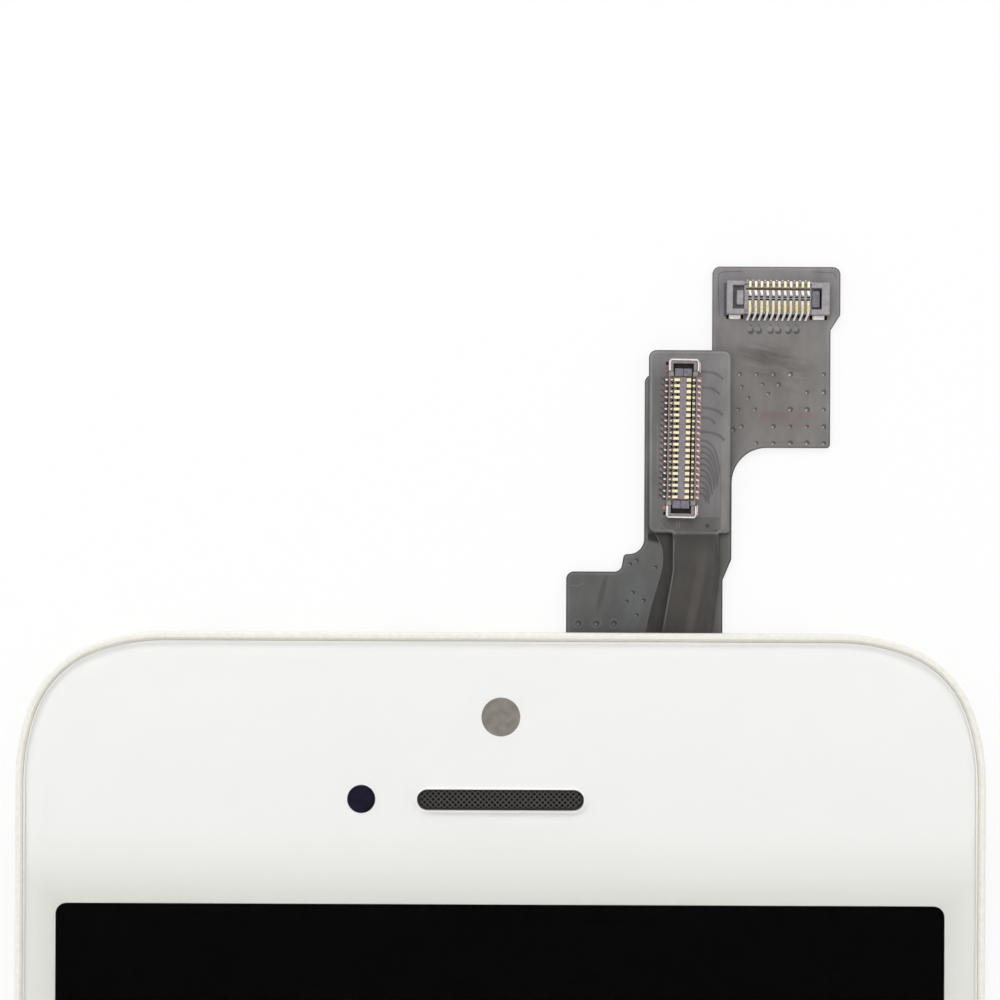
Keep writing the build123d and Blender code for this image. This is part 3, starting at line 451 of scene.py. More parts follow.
flange_half = (ear_high - ear_low) / 2
mesh_cup = stadium(flange_half.x, flange_half.y, ear_low.z, ear_low.z + ear_flange)
mesh_cup.name = "mesh_cup"
blackened_steel = mottled("blackened_steel", (60, 59, 57), (44, 43, 42), 0.5, 9.0, 0.002 * mm, specular=0.2)
acoustic_cloth = mottled("acoustic_cloth", (60, 58, 59), (38, 37, 38), 0.9, 7.0, 0.01 * mm, specular=0.0)
dress(mesh_cup, blackened_steel, acoustic_cloth)
pick(mesh_cup, lambda face: face.normal.z > upward)
bpy.ops.mesh.inset(thickness=flange_half.y - cup_half_height, use_even_offset=True)
bpy.ops.mesh.extrude_region_move(
    TRANSFORM_OT_translate={"value": (0, 0, ear_high.z - cup_drop - ear_low.z - ear_flange)}
)
bpy.ops.mesh.inset(thickness=cup_wall, use_even_offset=True)
bpy.ops.mesh.extrude_region_move(TRANSFORM_OT_translate={"value": (0, 0, -cup_depth)})
mesh_cup.active_material_index = 1
bpy.ops.object.material_slot_assign()
close(mesh_cup)
smooth(mesh_cup)
settle(mesh_cup, "mesh_steel", "earpiece_mesh")

wires = []
wire_count = int(cup_half_length * sqrt(2) / wire_pitch) + 2
for hand, wire_turn in wire_turns.items():
    for index in range(-wire_count, wire_count + 1):
        offset = (index + 0.5) * wire_pitch
        inside = slot_reach(offset)
        if not inside:
            continue
        middle = (inside[0] + inside[-1]) / 2
        length = inside[-1] - inside[0]
        bpy.ops.mesh.primitive_cylinder_add(
            vertices=wire_sides,
            radius=wire_radius,
            depth=length,
            rotation=(pi / 2, 0, wire_turn),
            location=(
                ear_middle.x + (middle - offset) / sqrt(2),
                ear_middle.y + (middle + offset) / sqrt(2) * hand,
                wire_level,
            ),
        )
        wire = bpy.context.object
        fix_place()
        pick(wire, lambda edge: edge_length(wire, edge) > length / 2, "EDGE")
        bpy.ops.mesh.subdivide(number_cuts=max(1, int(length / wire_step)))
        close(wire)
        for corner in wire.data.vertices:
            along = ((corner.co.x - ear_middle.x) + (corner.co.y - ear_middle.y) * hand) / sqrt(2)
            corner.co.z += sin(pi * along / wire_pitch + pi * index) * hand * wire_radius * wire_swing
        wires.append(wire)
woven_mesh = join(wires, "woven_mesh")
smooth(woven_mesh, wire_angle)
blackened_wire = mottled("blackened_wire", (104, 101, 96), (76, 74, 71), 0.45, 9.0, 0.002 * mm, specular=0.3)
dress(woven_mesh, blackened_wire)
settle(woven_mesh, "mesh_steel", "earpiece_mesh")

# Touch flex. Two copper layers between grey polyimide films, cut into a Z. The
# cover film stands up in a bead at its edge and over each filled via.
flex_foot = 61.0 * mm
flex_reach = 21.5 * mm
rim_width = 0.07 * mm
bead_width = 0.10 * mm
bead_slope = 0.04 * mm
bead_height = 0.014 * mm
corner_merge = 0.04 * mm
level_tolerance = 0.005 * mm
via_radius = 0.14 * mm
ring_radius = 0.27 * mm
ring_wire = 0.05 * mm
shade_lean = (0.03, 0.025)
shade_height = 0.012 * mm
light_lean = (-0.025, -0.03)
light_height = 0.024 * mm
light_size = 0.55
bump_angle = 60
film_angle = 20
cloud_swing = (0.88, 1.12)
streak_swing = (0.94, 1.06)
gloss_swing = (1.15, 0.85)
broken_band = (0.40, 0.58)
touch_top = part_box("touch_connector_housing")[0].z


def mark(material, colour, tone, centre, half, turn=0, strength=0.8, soft=0.35, boxed=False, streaked=False):
    """Patch of another tone in a soft oval or box, used for stains and for painted shade and reflection,
    placed in millimetres and degrees.
    """
    scale = (half[0] * mm, half[1] * mm, 1)
    place = placed(material, radians(turn), scale, (centre[0] * mm, centre[1] * mm, 0))
    reach = node(material, "ShaderNodeVectorMath", operation="ABSOLUTE" if boxed else "LENGTH")
    link(material, place, reach.inputs[0])
    if boxed:
        sides = axes(material, reach.outputs["Vector"])
        distance = reckon(material, "MAXIMUM", sides["X"], sides["Y"])
    else:
        distance = reach.outputs["Value"]
    cover = spread(material, distance, strength, 0.0, 1 - soft, 1 + soft)
    if streaked:
        grain = noise(material, 1.4, detail=5.0, stretch=(0.35, 1.8, 1), turn=radians(turn))
        cover = reckon(material, "MULTIPLY", cover, spread(material, grain, 0.0, 1.0, *broken_band))
    patched = node(material, "ShaderNodeMixRGB")
    patched.inputs["Color2"].default_value = paint(*tone)
    link(material, cover, patched.inputs["Fac"])
    link(material, colour, patched.inputs["Color1"])
    return patched.outputs["Color"]


def circuit_film(name, tones, marks=(), roughness=0.45, specular=0.3):
    """Film over etched copper, its grey graded along the circuit, partly as painted shade and reflection,
    with clouds and marks.
    """
    material, shader = finish(name, tones[0][1], roughness, specular=specular)
    along = spread(material, axes(material)["Y"], 0.0, 1.0, flex_foot, flex_foot + flex_reach)
    colour = ramp(material, along, tones)
    for patch in marks:
        colour = mark(material, colour, **patch)
    cloud = spread(material, noise(material, 0.55, detail=6.0, stretch=(1.4, 0.8, 1)), *cloud_swing)
    streaks = noise(material, 1.6, detail=6.0, stretch=(1.6, 0.5, 1), turn=radians(-8))
    streak = spread(material, streaks, *streak_swing)
    toned = node(material, "ShaderNodeHueSaturation")
    link(material, reckon(material, "MULTIPLY", cloud, streak), toned.inputs["Value"])
    link(material, colour, toned.inputs["Color"])
    link(material, toned.outputs["Color"], shader.inputs["Base Color"])
    gloss = spread(material, streaks, *(roughness * factor for factor in gloss_swing))
    link(material, gloss, shader.inputs["Roughness"])
    relief(material, shader, streaks, 0.004 * mm)
    return material


def border(piece, level, edge, bead, body):
    """Edge painted dark as shade, raised bead painted lighter as a highlight, and body on the flat top of a
    film.
    """
    dress(piece, edge, bead, body)
    pick(piece, lambda face: abs(face.center.z - level) < level_tolerance and face.normal.z > upward)
    steps = (
        (rim_width, 0, 1), (bead_slope, bead_height, 1), (bead_width / 2, 0, 1),
        (bead_width / 2, 0, 2), (bead_slope, -bead_height, 2),
    )
    for width, rise, slot in steps:
        bpy.ops.mesh.inset(thickness=width, depth=rise, use_even_offset=True)
        bpy.ops.mesh.remove_doubles(threshold=corner_merge)
        piece.active_material_index = slot
        bpy.ops.object.material_slot_assign()
    return close(piece)


def dome(x, y, level, radius, height, material):
    """Low round bump on a film, sunk to half its height."""
    bpy.ops.mesh.primitive_uv_sphere_add(segments=14, ring_count=6, radius=radius, location=(x, y, level))
    piece = bpy.context.object
    fix_place()
    pick(piece, lambda face: True)
    bpy.ops.transform.resize(value=(1, 1, height / radius), center_override=(x, y, level))
    close(piece)
    dress(piece, material)
    return piece


def via(x, y, level, size):
    """Filled via under the film: a dome painted in shade with a smaller dome painted as a highlight to its
    lower left.
    """
    radius = via_radius * size
    shade_x, shade_y = [(at + lean) * mm for at, lean in zip((x, y), shade_lean)]
    light_x, light_y = [(at + lean) * mm for at, lean in zip((x, y), light_lean)]
    return [
        dome(shade_x, shade_y, level, radius, shade_height, via_shade),
        dome(light_x, light_y, level, radius * light_size, light_height, via_light),
    ]


def ridge(points, level, width, rise, material):
    """Low rounded line on a film through points in millimetres, its ends sunk into the film."""
    bpy.ops.curve.primitive_nurbs_path_add(radius=1 * mm)
    line = bpy.context.object
    spline = line.data.splines[0]
    route = list(points)
    if len(route) == 2:
        route.insert(1, ((route[0][0] + route[1][0]) / 2, (route[0][1] + route[1][1]) / 2))
    route = [route[0], *route, route[-1]]
    if len(route) > len(spline.points):
        spline.points.add(len(route) - len(spline.points))
    for point, (x, y) in zip(spline.points, route):
        point.co = (x * mm, y * mm, 0, 1)
    for point in (spline.points[0], spline.points[-1]):
        point.co.z = -width * mm
    spline.order_u = 3
    spline.use_endpoint_u = True
    spline.resolution_u = 4
    line.location = (0, 0, 0)
    line.data.bevel_depth = width / 2 * mm
    line.data.bevel_resolution = 1
    line.data.use_fill_caps = True
    piece = join([line], "ridge")
    pick(piece, lambda face: True)
    bpy.ops.transform.resize(value=(1, 1, rise * 2 / width), center_override=(0, 0, 0))
    bpy.ops.transform.translate(value=(0, 0, level))
    close(piece)
    dress(piece, material)
    return piece


def skin(left, right, level, thickness, name):
    """Thin film between two rows of points in millimetres, listed upwards."""
    bpy.ops.mesh.primitive_plane_add(size=1 * mm)
    piece = bpy.context.object
    piece.name = name
    corners = piece.data.vertices
    ends = [corners[0], corners[1]]
    for index, pair in enumerate(zip(left, right)):
        if index == 1:
            ends = [corners[2], corners[3]]
        if index > 1:
            fresh = {len(piece.data.vertices) - 2, len(piece.data.vertices) - 1}
            pick(piece, lambda edge: set(edge.vertices) == fresh, "EDGE")
            bpy.ops.mesh.extrude_region_move(TRANSFORM_OT_translate={"value": (0, 1 * mm, 0)})
            close(piece)
            ends = sorted(list(piece.data.vertices)[-2:], key=lambda corner: corner.co.x)
        for corner, (x, y) in zip(ends, pair):
            corner.co = (x * mm, y * mm, level)
    rounding = piece.modifiers.new("rounding", "SUBSURF")
    rounding.levels = 2
    rounding.render_levels = 2
    rounding.boundary_smooth = "PRESERVE_CORNERS"
    wall = piece.modifiers.new("wall", "SOLIDIFY")
    wall.thickness = thickness
    wall.offset = 1
    activate(piece)
    for modifier in (rounding.name, wall.name):
        bpy.ops.object.modifier_apply(modifier=modifier)
    return piece


def film_detail(parts, name):
    """Joins raised details of a film into one smooth piece of the object."""
    piece = join(parts, name)
    smooth(piece, bump_angle)
    settle(piece, "flex_film")


# The grey rises from the film's foot to its head, partly as painted shade towards the frame and painted
# reflection towards the head.
touch_tones = (
    (0.0, (92, 92, 92)), (0.2, (99, 99, 98)), (0.35, (101, 100, 98)),
    (0.5, (117, 114, 112)), (0.75, (122, 119, 116)), (1.0, (140, 137, 139)),
)
touch_marks = (
    dict(tone=(92, 89, 88), centre=(15.9, 76.9), half=(2.1, 0.9), turn=-14, strength=0.8, streaked=True),
    dict(tone=(104, 101, 98), centre=(16.9, 75.8), half=(1.7, 0.6), turn=-20, strength=0.6, streaked=True),
    dict(tone=(128, 104, 104), centre=(16.9, 73.6), half=(1.9, 0.45), turn=-4, strength=0.75, streaked=True),
    dict(tone=(99, 96, 91), centre=(12.85, 63.4), half=(0.6, 3.2), turn=-6, strength=0.7),
    dict(tone=(98, 100, 102), centre=(7.6, 63.0), half=(0.5, 1.9), turn=-8, soft=0.8, strength=0.6),
    dict(tone=(66, 66, 66), centre=(5.9, 63.3), half=(0.16, 1.1), turn=-14, strength=0.5),
    # Painted shadow under the display pad's lower left corner.
    dict(tone=(46, 44, 42), centre=(9.0, 66.55), half=(0.75, 0.26), turn=-14, strength=1.0),
    dict(tone=(98, 95, 92), centre=(16.9, 71.7), half=(1.9, 0.5), strength=0.45),
)
# Bead and light tones are painted highlights, edge and trace tones painted shade, all graded along the film
# like its grey.
bead_highlight_tones = (
    (0.0, (98, 99, 100)), (0.3, (105, 105, 104)), (0.5, (122, 120, 118)), (1.0, (138, 135, 137)),
)
edge_shade_tones = ((0.0, (64, 64, 65)), (0.35, (74, 73, 72)), (0.5, (96, 94, 92)), (1.0, (108, 105, 106)))
light_tones = ((0.0, (116, 117, 118)), (0.3, (124, 124, 123)), (0.5, (152, 150, 147)), (1.0, (164, 162, 162)))
trace_tones = ((0.0, (70, 69, 68)), (0.3, (92, 90, 89)), (0.5, (102, 100, 101)), (1.0, (112, 109, 110)))
touch_body = circuit_film("touch_film_body", touch_tones, touch_marks)
flex_bead_highlight = circuit_film("flex_film_bead_highlight", bead_highlight_tones)
flex_edge_shade = circuit_film("flex_film_edge_shade", edge_shade_tones)
shade_share = 0.86
shade_tones = [(place, tuple(level * shade_share for level in tone)) for place, tone in edge_shade_tones]
via_shade = circuit_film("via_film_shade", shade_tones)
via_light = circuit_film("via_film_light", light_tones)
trace_shade = circuit_film("trace_film_shade", trace_tones)
touch_film = border(twin("touch_flex", "touch_film"), touch_top, flex_edge_shade, flex_bead_highlight, touch_body)
smooth(touch_film, film_angle)
settle(touch_film, "flex_film", "touch_flex")

via_pitch = 0.985
via_corner = (13.92, 72.11)
via_unevenness = 0.22
tab_via_size = 0.8
via_rows = (
    (0.0, (1, 2, 3, 4, 5)), (0.78, (-0.4,)), (0.98, (0.1, 2, 3, 4, 5)),
    (1.98, (-0.1, 0.9, 3, 4, 5)), (2.65, (0.5,)), (2.90, (1.7,)), (3.0, (4, 5)),
    (3.3, (0.1,)), (3.45, (1.35, 2.3)), (4.05, (0, 1, 2, 3, 5)),
)
tab_vias = (
    (7.52, 64.98), (7.90, 65.19), (9.01, 64.80), (7.69, 63.32), (7.33, 62.79), (8.32, 62.86), (7.92, 61.99),
)
head_vias = (14.54, 15.02, 15.72, 16.16, 16.76, 17.22)
head_via_y = 78.76
domes = []
for rise, columns in via_rows:
    for column in columns:
        uneven = 1.0 + via_unevenness * sin(5 * column + 3 * rise)
        domes += via(via_corner[0] + column * via_pitch, via_corner[1] + rise, touch_top, uneven)
for x, y in tab_vias:
    domes += via(x, y, touch_top, tab_via_size)
for x in head_vias:
    # Each head via gets a dome painted in shade, a smaller dome painted as a highlight and a slot line
    # painted in shade.
    domes.append(dome((x + 0.02) * mm, (head_via_y - 0.05) * mm, touch_top, 0.20 * mm, 0.012 * mm, via_shade))
    domes.append(dome((x - 0.04) * mm, (head_via_y + 0.05) * mm, touch_top, 0.16 * mm, 0.022 * mm, flex_bead_highlight))
    slot = ((x - 0.05, head_via_y + 0.36), (x + 0.02, head_via_y + 0.27), (x + 0.10, head_via_y + 0.20))
    domes.append(ridge(slot, touch_top, 0.06, 0.014, flex_edge_shade))
film_detail(domes, "touch_domes")

# Lines along the head's rim painted in shade, and one short line painted as a highlight.
head_lines = (
    ((12.72, 79.35), (12.65, 81.05), (12.64, 81.95), (12.80, 82.16), (13.36, 82.18), (14.14, 82.18)),
    (
        (18.09, 82.18), (18.81, 82.16), (19.45, 82.12), (19.60, 81.94),
        (19.62, 80.78), (19.60, 79.64), (19.3, 79.28),
    ),
)
lines = [ridge(points, touch_top, 0.05, 0.012, flex_edge_shade) for points in head_lines]
lines.append(ridge(((3.93, 63.80), (4.40, 63.66), (4.85, 63.86)), touch_top, 0.04, 0.016, via_light))
film_detail(lines, "film_lines")

pad_pitch = 1.045 * mm
first_pad = Vector((4.51, 61.47)) * mm
pad_count = 3
pad_y = first_pad.y
# Each test pad: a raised ring painted lighter as a highlight, a dome painted in shade and a smaller dome
# painted as a highlight.
rings = []
for index in range(pad_count):
    pad_x = first_pad.x + index * pad_pitch
    bpy.ops.mesh.primitive_torus_add(
        major_radius=ring_radius,
        minor_radius=ring_wire,
        major_segments=28,
        minor_segments=8,
        location=(pad_x, pad_y, touch_top - ring_wire / 2),
    )
    dress(bpy.context.object, flex_bead_highlight)
    rings.append(bpy.context.object)
    rings.append(dome(pad_x + 0.03 * mm, pad_y + 0.05 * mm, touch_top, 0.15 * mm, 0.014 * mm, via_shade))
    rings.append(dome(pad_x, pad_y - 0.02 * mm, touch_top, 0.10 * mm, 0.026 * mm, flex_bead_highlight))
film_detail(rings, "test_pads")

# Dark band. A thin dark sheet lying on the touch flex, with a line painted
# lighter as a highlight along its left edge. It shows as a curved dark band to
# the left of the display strip.
band_run = (
    (8.47, 9.9, 61.02), (8.76, 10.0, 62.42), (9.23, 10.2, 63.9), (9.46, 10.3, 64.78),
    (9.52, 10.3, 65.45), (9.38, 10.3, 66.2), (9.0, 10.3, 66.85),
)
band_left = [(left, y) for left, _, y in band_run]
band_right = [(right, y) for _, right, y in band_run]
band_thickness = 0.02 * mm
dark_band_sheet = skin(band_left, band_right, touch_top, band_thickness, "dark_band_sheet")
dark_band_black = mottled(
    "dark_band_black", (64, 62, 59), (50, 48, 46), 0.5, 1.2, 0.004 * mm, specular=0.3, stretch=(1.6, 0.4, 1)
)
dress(dark_band_sheet, dark_band_black)
settle(dark_band_sheet, "flex_film")
band_edge_line = ridge([(x - 0.03, y) for x, y in band_left], touch_top, 0.05, 0.02, flex_bead_highlight)
band_edge_line.name = "dark_band_edge"
smooth(band_edge_line, bump_angle)
settle(band_edge_line, "flex_film")

# Display flex. A single thicker circuit, its pad stiffened under the large
# connector and its strip bent down to the display, with traces that fan out.
display_low, display_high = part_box("display_connector_housing")
display_top = display_low.z
pad_foot = 66.8 * mm
pad_share = (pad_foot - flex_foot) / flex_reach
# Just below the pad's foot the strip is painted darker, a painted shadow under the pad's edge.
strip_tones = (
    (0.0, (62, 59, 57)), (pad_share - 0.06, (72, 69, 66)), (pad_share - 0.004, (60, 58, 56)),
    (pad_share, (94, 91, 90)), (pad_share + 0.05, (108, 106, 105)), (pad_share + 0.10, (122, 119, 121)),
    (0.6, (125, 122, 124)), (1.0, (134, 131, 132)),
)
rim_highlight_tones = (
    (0.0, (66, 63, 61)), (pad_share - 0.004, (66, 64, 62)), (pad_share, (110, 109, 107)),
    (pad_share + 0.10, (124, 122, 120)), (1.0, (140, 137, 139)),
)
# The first three marks are partly painted shade and reflection: the pad darker along its foot and at its left
# edge, lighter at its right edge.
display_marks = (
    dict(tone=(90, 87, 85), centre=(10.97, 67.30), half=(1.85, 0.46), strength=0.95, soft=0.12, boxed=True),
    dict(tone=(130, 126, 121), centre=(13.08, 71.6), half=(0.26, 4.9), strength=0.7, soft=0.15, boxed=True),
    dict(tone=(106, 107, 104), centre=(8.85, 71.2), half=(0.45, 4.6), strength=0.8, soft=0.3, boxed=True),
    dict(tone=(56, 53, 51), centre=(12.04, 67.27), half=(0.12, 0.12), strength=0.9),
    dict(tone=(64, 61, 59), centre=(12.55, 66.98), half=(0.09, 0.07), strength=0.9),
    dict(tone=(84, 80, 76), centre=(11.4, 63.2), half=(0.28, 2.6), turn=-11, strength=0.6),
)
display_body = circuit_film("display_film_body", strip_tones, display_marks)
# The display film's bead is painted lighter than its body, as a highlight.
display_rim_highlight = circuit_film("display_film_rim_highlight", rim_highlight_tones)
display_film = border(twin("display_flex", "display_film"), display_top, flex_edge_shade, display_rim_highlight, display_body)
smooth(display_film, film_angle)
settle(display_film, "flex_film", "display_flex")

pad_lines = (
    ((9.10, 73.4), (9.10, 70.6), (9.11, 68.83), (9.12, 67.72), (9.44, 67.17), (9.78, 66.92)),
    ((9.72, 66.90), (11.5, 66.88), (13.30, 66.87)),
    ((12.80, 72.4), (12.80, 69.8), (12.81, 67.0)),
    ((10.24, 67.52), (10.25, 67.10)),
    ((10.40, 67.52), (10.40, 67.10)),
    ((10.09, 66.6), (10.09, 65.2), (10.07, 64.5), (9.80, 63.0), (9.49, 61.1)),
)
# The pad's border lines are ridges painted lighter as highlights.
lines = [ridge(points, display_top, 0.07, 0.012, flex_bead_highlight) for points in pad_lines]
lines += via(12.60, 75.02, display_top, 0.5)
film_detail(lines, "pad_borders")

upper_traces = (
    ((11.60, 76.28), (11.95, 76.27), (12.50, 76.20), (12.95, 75.84)),
    ((11.60, 75.39), (11.95, 75.36), (12.40, 75.28), (12.71, 74.95)),
    ((11.60, 74.20), (11.95, 74.17), (12.50, 74.08), (12.93, 73.74)),
    ((11.60, 73.62), (11.90, 73.60), (12.20, 73.54), (12.47, 73.25)),
    ((11.60, 72.78), (11.95, 72.76), (12.60, 72.66), (13.04, 72.26)),
)
fan_count = 10
fan_left = 11.60
fan_right = 12.80
fan_top = 72.25
fan_pitch = 0.345
fan_foot = 70.1
# Each trace is a ridge painted in shade, with a thinner ridge beside it painted as a highlight.
traces = []
for points in upper_traces:
    traces.append(ridge(points, display_top, 0.18, 0.012, trace_shade))
    traces.append(ridge([(x - 0.04, y - 0.12) for x, y in points], display_top, 0.10, 0.014, flex_bead_highlight))
for index in range(fan_count):
    y = fan_top - fan_pitch * index
    end_x = fan_right - 0.085 * index - 0.05 * (index % 2)
    end_y = fan_foot - 0.16 * index - 0.15 * (index % 3)
    end = (end_x, end_y)
    bend = (fan_left + (end_x - fan_left) * 0.75, y - (y - end_y) * 0.20)
    start = (fan_left + (end_x - fan_left) * 0.30, y)
    traces.append(ridge(((fan_left, y), start, bend, end), display_top, 0.14, 0.010, trace_shade))
    lit = [(x - 0.03, y - 0.12) for x, y in (start, bend, end)]
    traces.append(ridge(lit, display_top, 0.07, 0.010, flex_bead_highlight))
film_detail(traces, "pad_traces")
stiff_steel = mottled("stiff_steel", (150, 149, 146), (128, 127, 125), 0.38, 2.0, 0.002 * mm, metallic=0.9)
dress_nodes(stiff_steel, "touch_stiffener", "display_stiffener")

# Display connector. Housing moulded in grey liquid crystal polymer round two
# rows of gold plated contacts, a steel clip at each end, soldered to the pad.
contact_pitch = 0.342
contact_rows = 21
contact_sheet = 0.04
row_reach = contact_pitch * (contact_rows - 1) / 2
display_seat = ((display_low + display_high) / 2, radians(-0.9), display_top)
moulded = dict(roughness=0.5, grain=6.0, depth=0.003 * mm, specular=0.3)
recessed = dict(roughness=0.8, grain=6.0, depth=0.002 * mm, specular=0.0)
gilded = dict(roughness=0.4, grain=7.0, depth=0.002 * mm)
fluxed = dict(roughness=0.5, grain=3.5, depth=0.004 * mm, specular=0.3)
grey_polymer = mottled("grey_polymer", (146, 139, 144), (126, 120, 124), **moulded)
olive_polymer = mottled("olive_polymer", (152, 150, 146), (126, 120, 114), **moulded)
blue_polymer = mottled("blue_polymer", (132, 129, 138), (106, 103, 112), **moulded)
well_grey = mottled("well_grey", (138, 129, 126), (104, 94, 90), 0.7, 5.0, 0.002 * mm, specular=0.1)
# Painted shade for deep pockets and between the tails.
well_shade = mottled("well_shade", (58, 53, 50), (42, 38, 36), **recessed)
# Dark blocks painted as the shade in gaps, slots and beside clips and nails.
gap_shade = mottled("gap_shade", (40, 33, 27), (26, 21, 17), **recessed)
well_brown = mottled("well_brown", (112, 96, 78), (80, 66, 54), **recessed)
cream_gold = mottled("cream_gold", (255, 250, 222), (250, 232, 174), metallic=0.25, **gilded)
pale_gold = mottled("pale_gold", (253, 242, 196), (224, 198, 122), metallic=0.35, **gilded)
pink_tin = mottled("pink_tin", (255, 236, 228), (214, 176, 172), 0.45, 9.0, 0.003 * mm, metallic=0.2)
white_tin = mottled("white_tin", (255, 252, 248), (232, 222, 214), 0.4, 9.0, 0.003 * mm, metallic=0.2)
red_flux = mottled("red_flux", (208, 160, 152), (138, 98, 96), **fluxed)
dark_flux = mottled("dark_flux", (138, 112, 106), (64, 55, 54), **fluxed)


def mount(piece, seat, slot, *nodes):
    """Puts a piece made about the origin on a connector's place and turn, and settles it."""
    centre, turn, level = seat
    activate(piece)
    piece.location = (centre.x, centre.y, level)
    piece.rotation_euler = (0, 0, turn)
    fix_place()
    settle(piece, slot, *nodes)


def block(low, high, material, edge=0.02):
    """Moulded block between two corners in millimetres, in any order, its edges broken."""
    size = [abs(far - near) * mm for near, far in zip(low, high)]
    middle = [(far + near) / 2 * mm for near, far in zip(low, high)]
    bpy.ops.mesh.primitive_cube_add(size=1, location=middle, scale=size)
    piece = bpy.context.object
    fix_place()
    pick(piece, lambda side: True, "EDGE")
    bpy.ops.mesh.bevel(offset=min(edge * mm, min(size) / 3), segments=1)
    close(piece)
    dress(piece, material)
    return piece


def ribbon(route, width, material):
    """Strip of sheet bent through places (across, along, height), in millimetres."""
    bpy.ops.mesh.primitive_plane_add(size=1)
    piece = bpy.context.object
    places = [Vector(place) * mm for place in route]
    half = Vector((0, width / 2 * mm, 0))
    corners = piece.data.vertices
    corners[0].co = places[0] - half
    corners[1].co = places[0] + half
    corners[2].co = places[1] - half
    corners[3].co = places[1] + half
    for start, end in zip(places[1:], places[2:]):
        fresh = {len(piece.data.vertices) - 2, len(piece.data.vertices) - 1}
        pick(piece, lambda edge: set(edge.vertices) == fresh, "EDGE")
        bpy.ops.mesh.extrude_region_move(TRANSFORM_OT_translate={"value": end - start})
        close(piece)
    wall = piece.modifiers.new("sheet", "SOLIDIFY")
    wall.thickness = contact_sheet * mm
    wall.offset = 0
    bpy.ops.object.modifier_apply(modifier=wall.name)
    dress(piece, material)
    return piece


def row(parts, name, count):
    """Parts joined and copied along the connector, centred on its place."""
    piece = join(parts, name)
    copies = piece.modifiers.new("row", "ARRAY")
    copies.use_relative_offset = False
    copies.use_constant_offset = True
    copies.constant_offset_displace = (0, contact_pitch * mm, 0)
    copies.count = count
    activate(piece)
    bpy.ops.object.modifier_apply(modifier=copies.name)
    pick(piece, lambda face: True)
    bpy.ops.transform.translate(value=(0, -contact_pitch * mm * (count - 1) / 2, 0))
    return close(piece)


end_blocks = (
    ((0.60, 3.93, 0.0), (0.77, 4.50, 0.55), grey_polymer),
    ((0.56, 3.62, 0.0), (0.84, 3.92, 0.50), olive_polymer),
    ((0.008, 3.63, 0.05), (0.50, 4.09, 0.44), blue_polymer),
)
body_parts = [
    block((-0.80, -3.62, 0.0), (0.80, 3.62, 0.36), well_grey),
    block((-0.19, -3.56, 0.08), (0.19, 3.56, 0.46), grey_polymer),
    # A slot painted dark as shade.
    block((0.46, -3.58, 0.05), (0.555, 3.58, 0.375), gap_shade, 0.01),
]
for side in (-1, 1):
    body_parts.append(block((side * 0.76, -3.62, 0.0), (side * 0.845, 3.62, 0.58), grey_polymer, 0.03))
    for end in (-1, 1):
        for low, high, polymer in end_blocks:
            near = (side * low[0], end * low[1], low[2])
            far = (side * high[0], end * high[1], high[2])
            body_parts.append(block(near, far, polymer))
for end in (-1, 1):
    # The pocket floors at the ends are painted dark as the shade in the pockets.
    body_parts.append(block((-0.80, end * 3.60, 0.0), (0.80, end * 4.50, 0.34), well_shade))
    body_parts.append(block((-0.78, end * 4.38, 0.0), (0.78, end * 4.56, 0.54), grey_polymer))
display_body_piece = join(body_parts, "display_connector_body")
mount(display_body_piece, display_seat, "connector_plastic", "display_connector_housing")

# Blocks painted dark as the shade in the gaps between the contacts.
gap_shade_parts = [
    block((-0.66, -0.055, 0.30), (-0.55, 0.055, 0.38), gap_shade, 0.01),
    block((-0.38, -0.055, 0.30), (-0.27, 0.055, 0.38), gap_shade, 0.01),
    block((0.69, -0.05, 0.30), (0.76, 0.05, 0.38), gap_shade, 0.01),
    block((-0.90, -0.04, 0.02), (-0.85, 0.04, 0.40), gap_shade, 0.01),
]
contact_gap_shades = row(gap_shade_parts, "contact_gap_shades", contact_rows - 1)
mount(contact_gap_shades, display_seat, "connector_plastic", "display_connector_housing")

display_strips = (
    (((-0.215, 0, 0.30), (-0.215, 0, 0.455), (-0.50, 0, 0.455), (-0.52, 0, 0.30)), 0.16, cream_gold),
    (((-0.64, 0, 0.30), (-0.64, 0, 0.44), (-0.73, 0, 0.44), (-0.74, 0, 0.30)), 0.08, cream_gold),
    (((0.215, 0, 0.30), (0.215, 0, 0.455), (0.44, 0, 0.455), (0.45, 0, 0.30)), 0.19, cream_gold),
    (((0.57, 0, 0.30), (0.58, 0, 0.44), (0.68, 0, 0.44), (0.69, 0, 0.30)), 0.12, cream_gold),
    (((0.85, 0.01, 0.24), (0.88, 0, 0.16), (0.98, -0.03, 0.10), (1.04, -0.06, 0.02)), 0.11, white_tin),
    (((-0.90, 0, 0.14), (-0.93, 0, 0.12), (-1.00, 0.02, 0.08), (-1.02, 0.03, 0.02)), 0.09, white_tin),
)
contact_parts = [ribbon(*strip) for strip in display_strips]
display_contacts = row(contact_parts, "display_contacts", contact_rows)
mount(display_contacts, display_seat, "gold_plate", "display_connector_contacts")

solder_reach = row_reach + 0.2
solder_and_shading_parts = [
    block((0.855, -solder_reach, -0.005), (1.09, solder_reach, 0.02), red_flux, 0.01),
    block((-1.10, -solder_reach, -0.005), (-0.86, solder_reach, 0.02), dark_flux, 0.01),
]
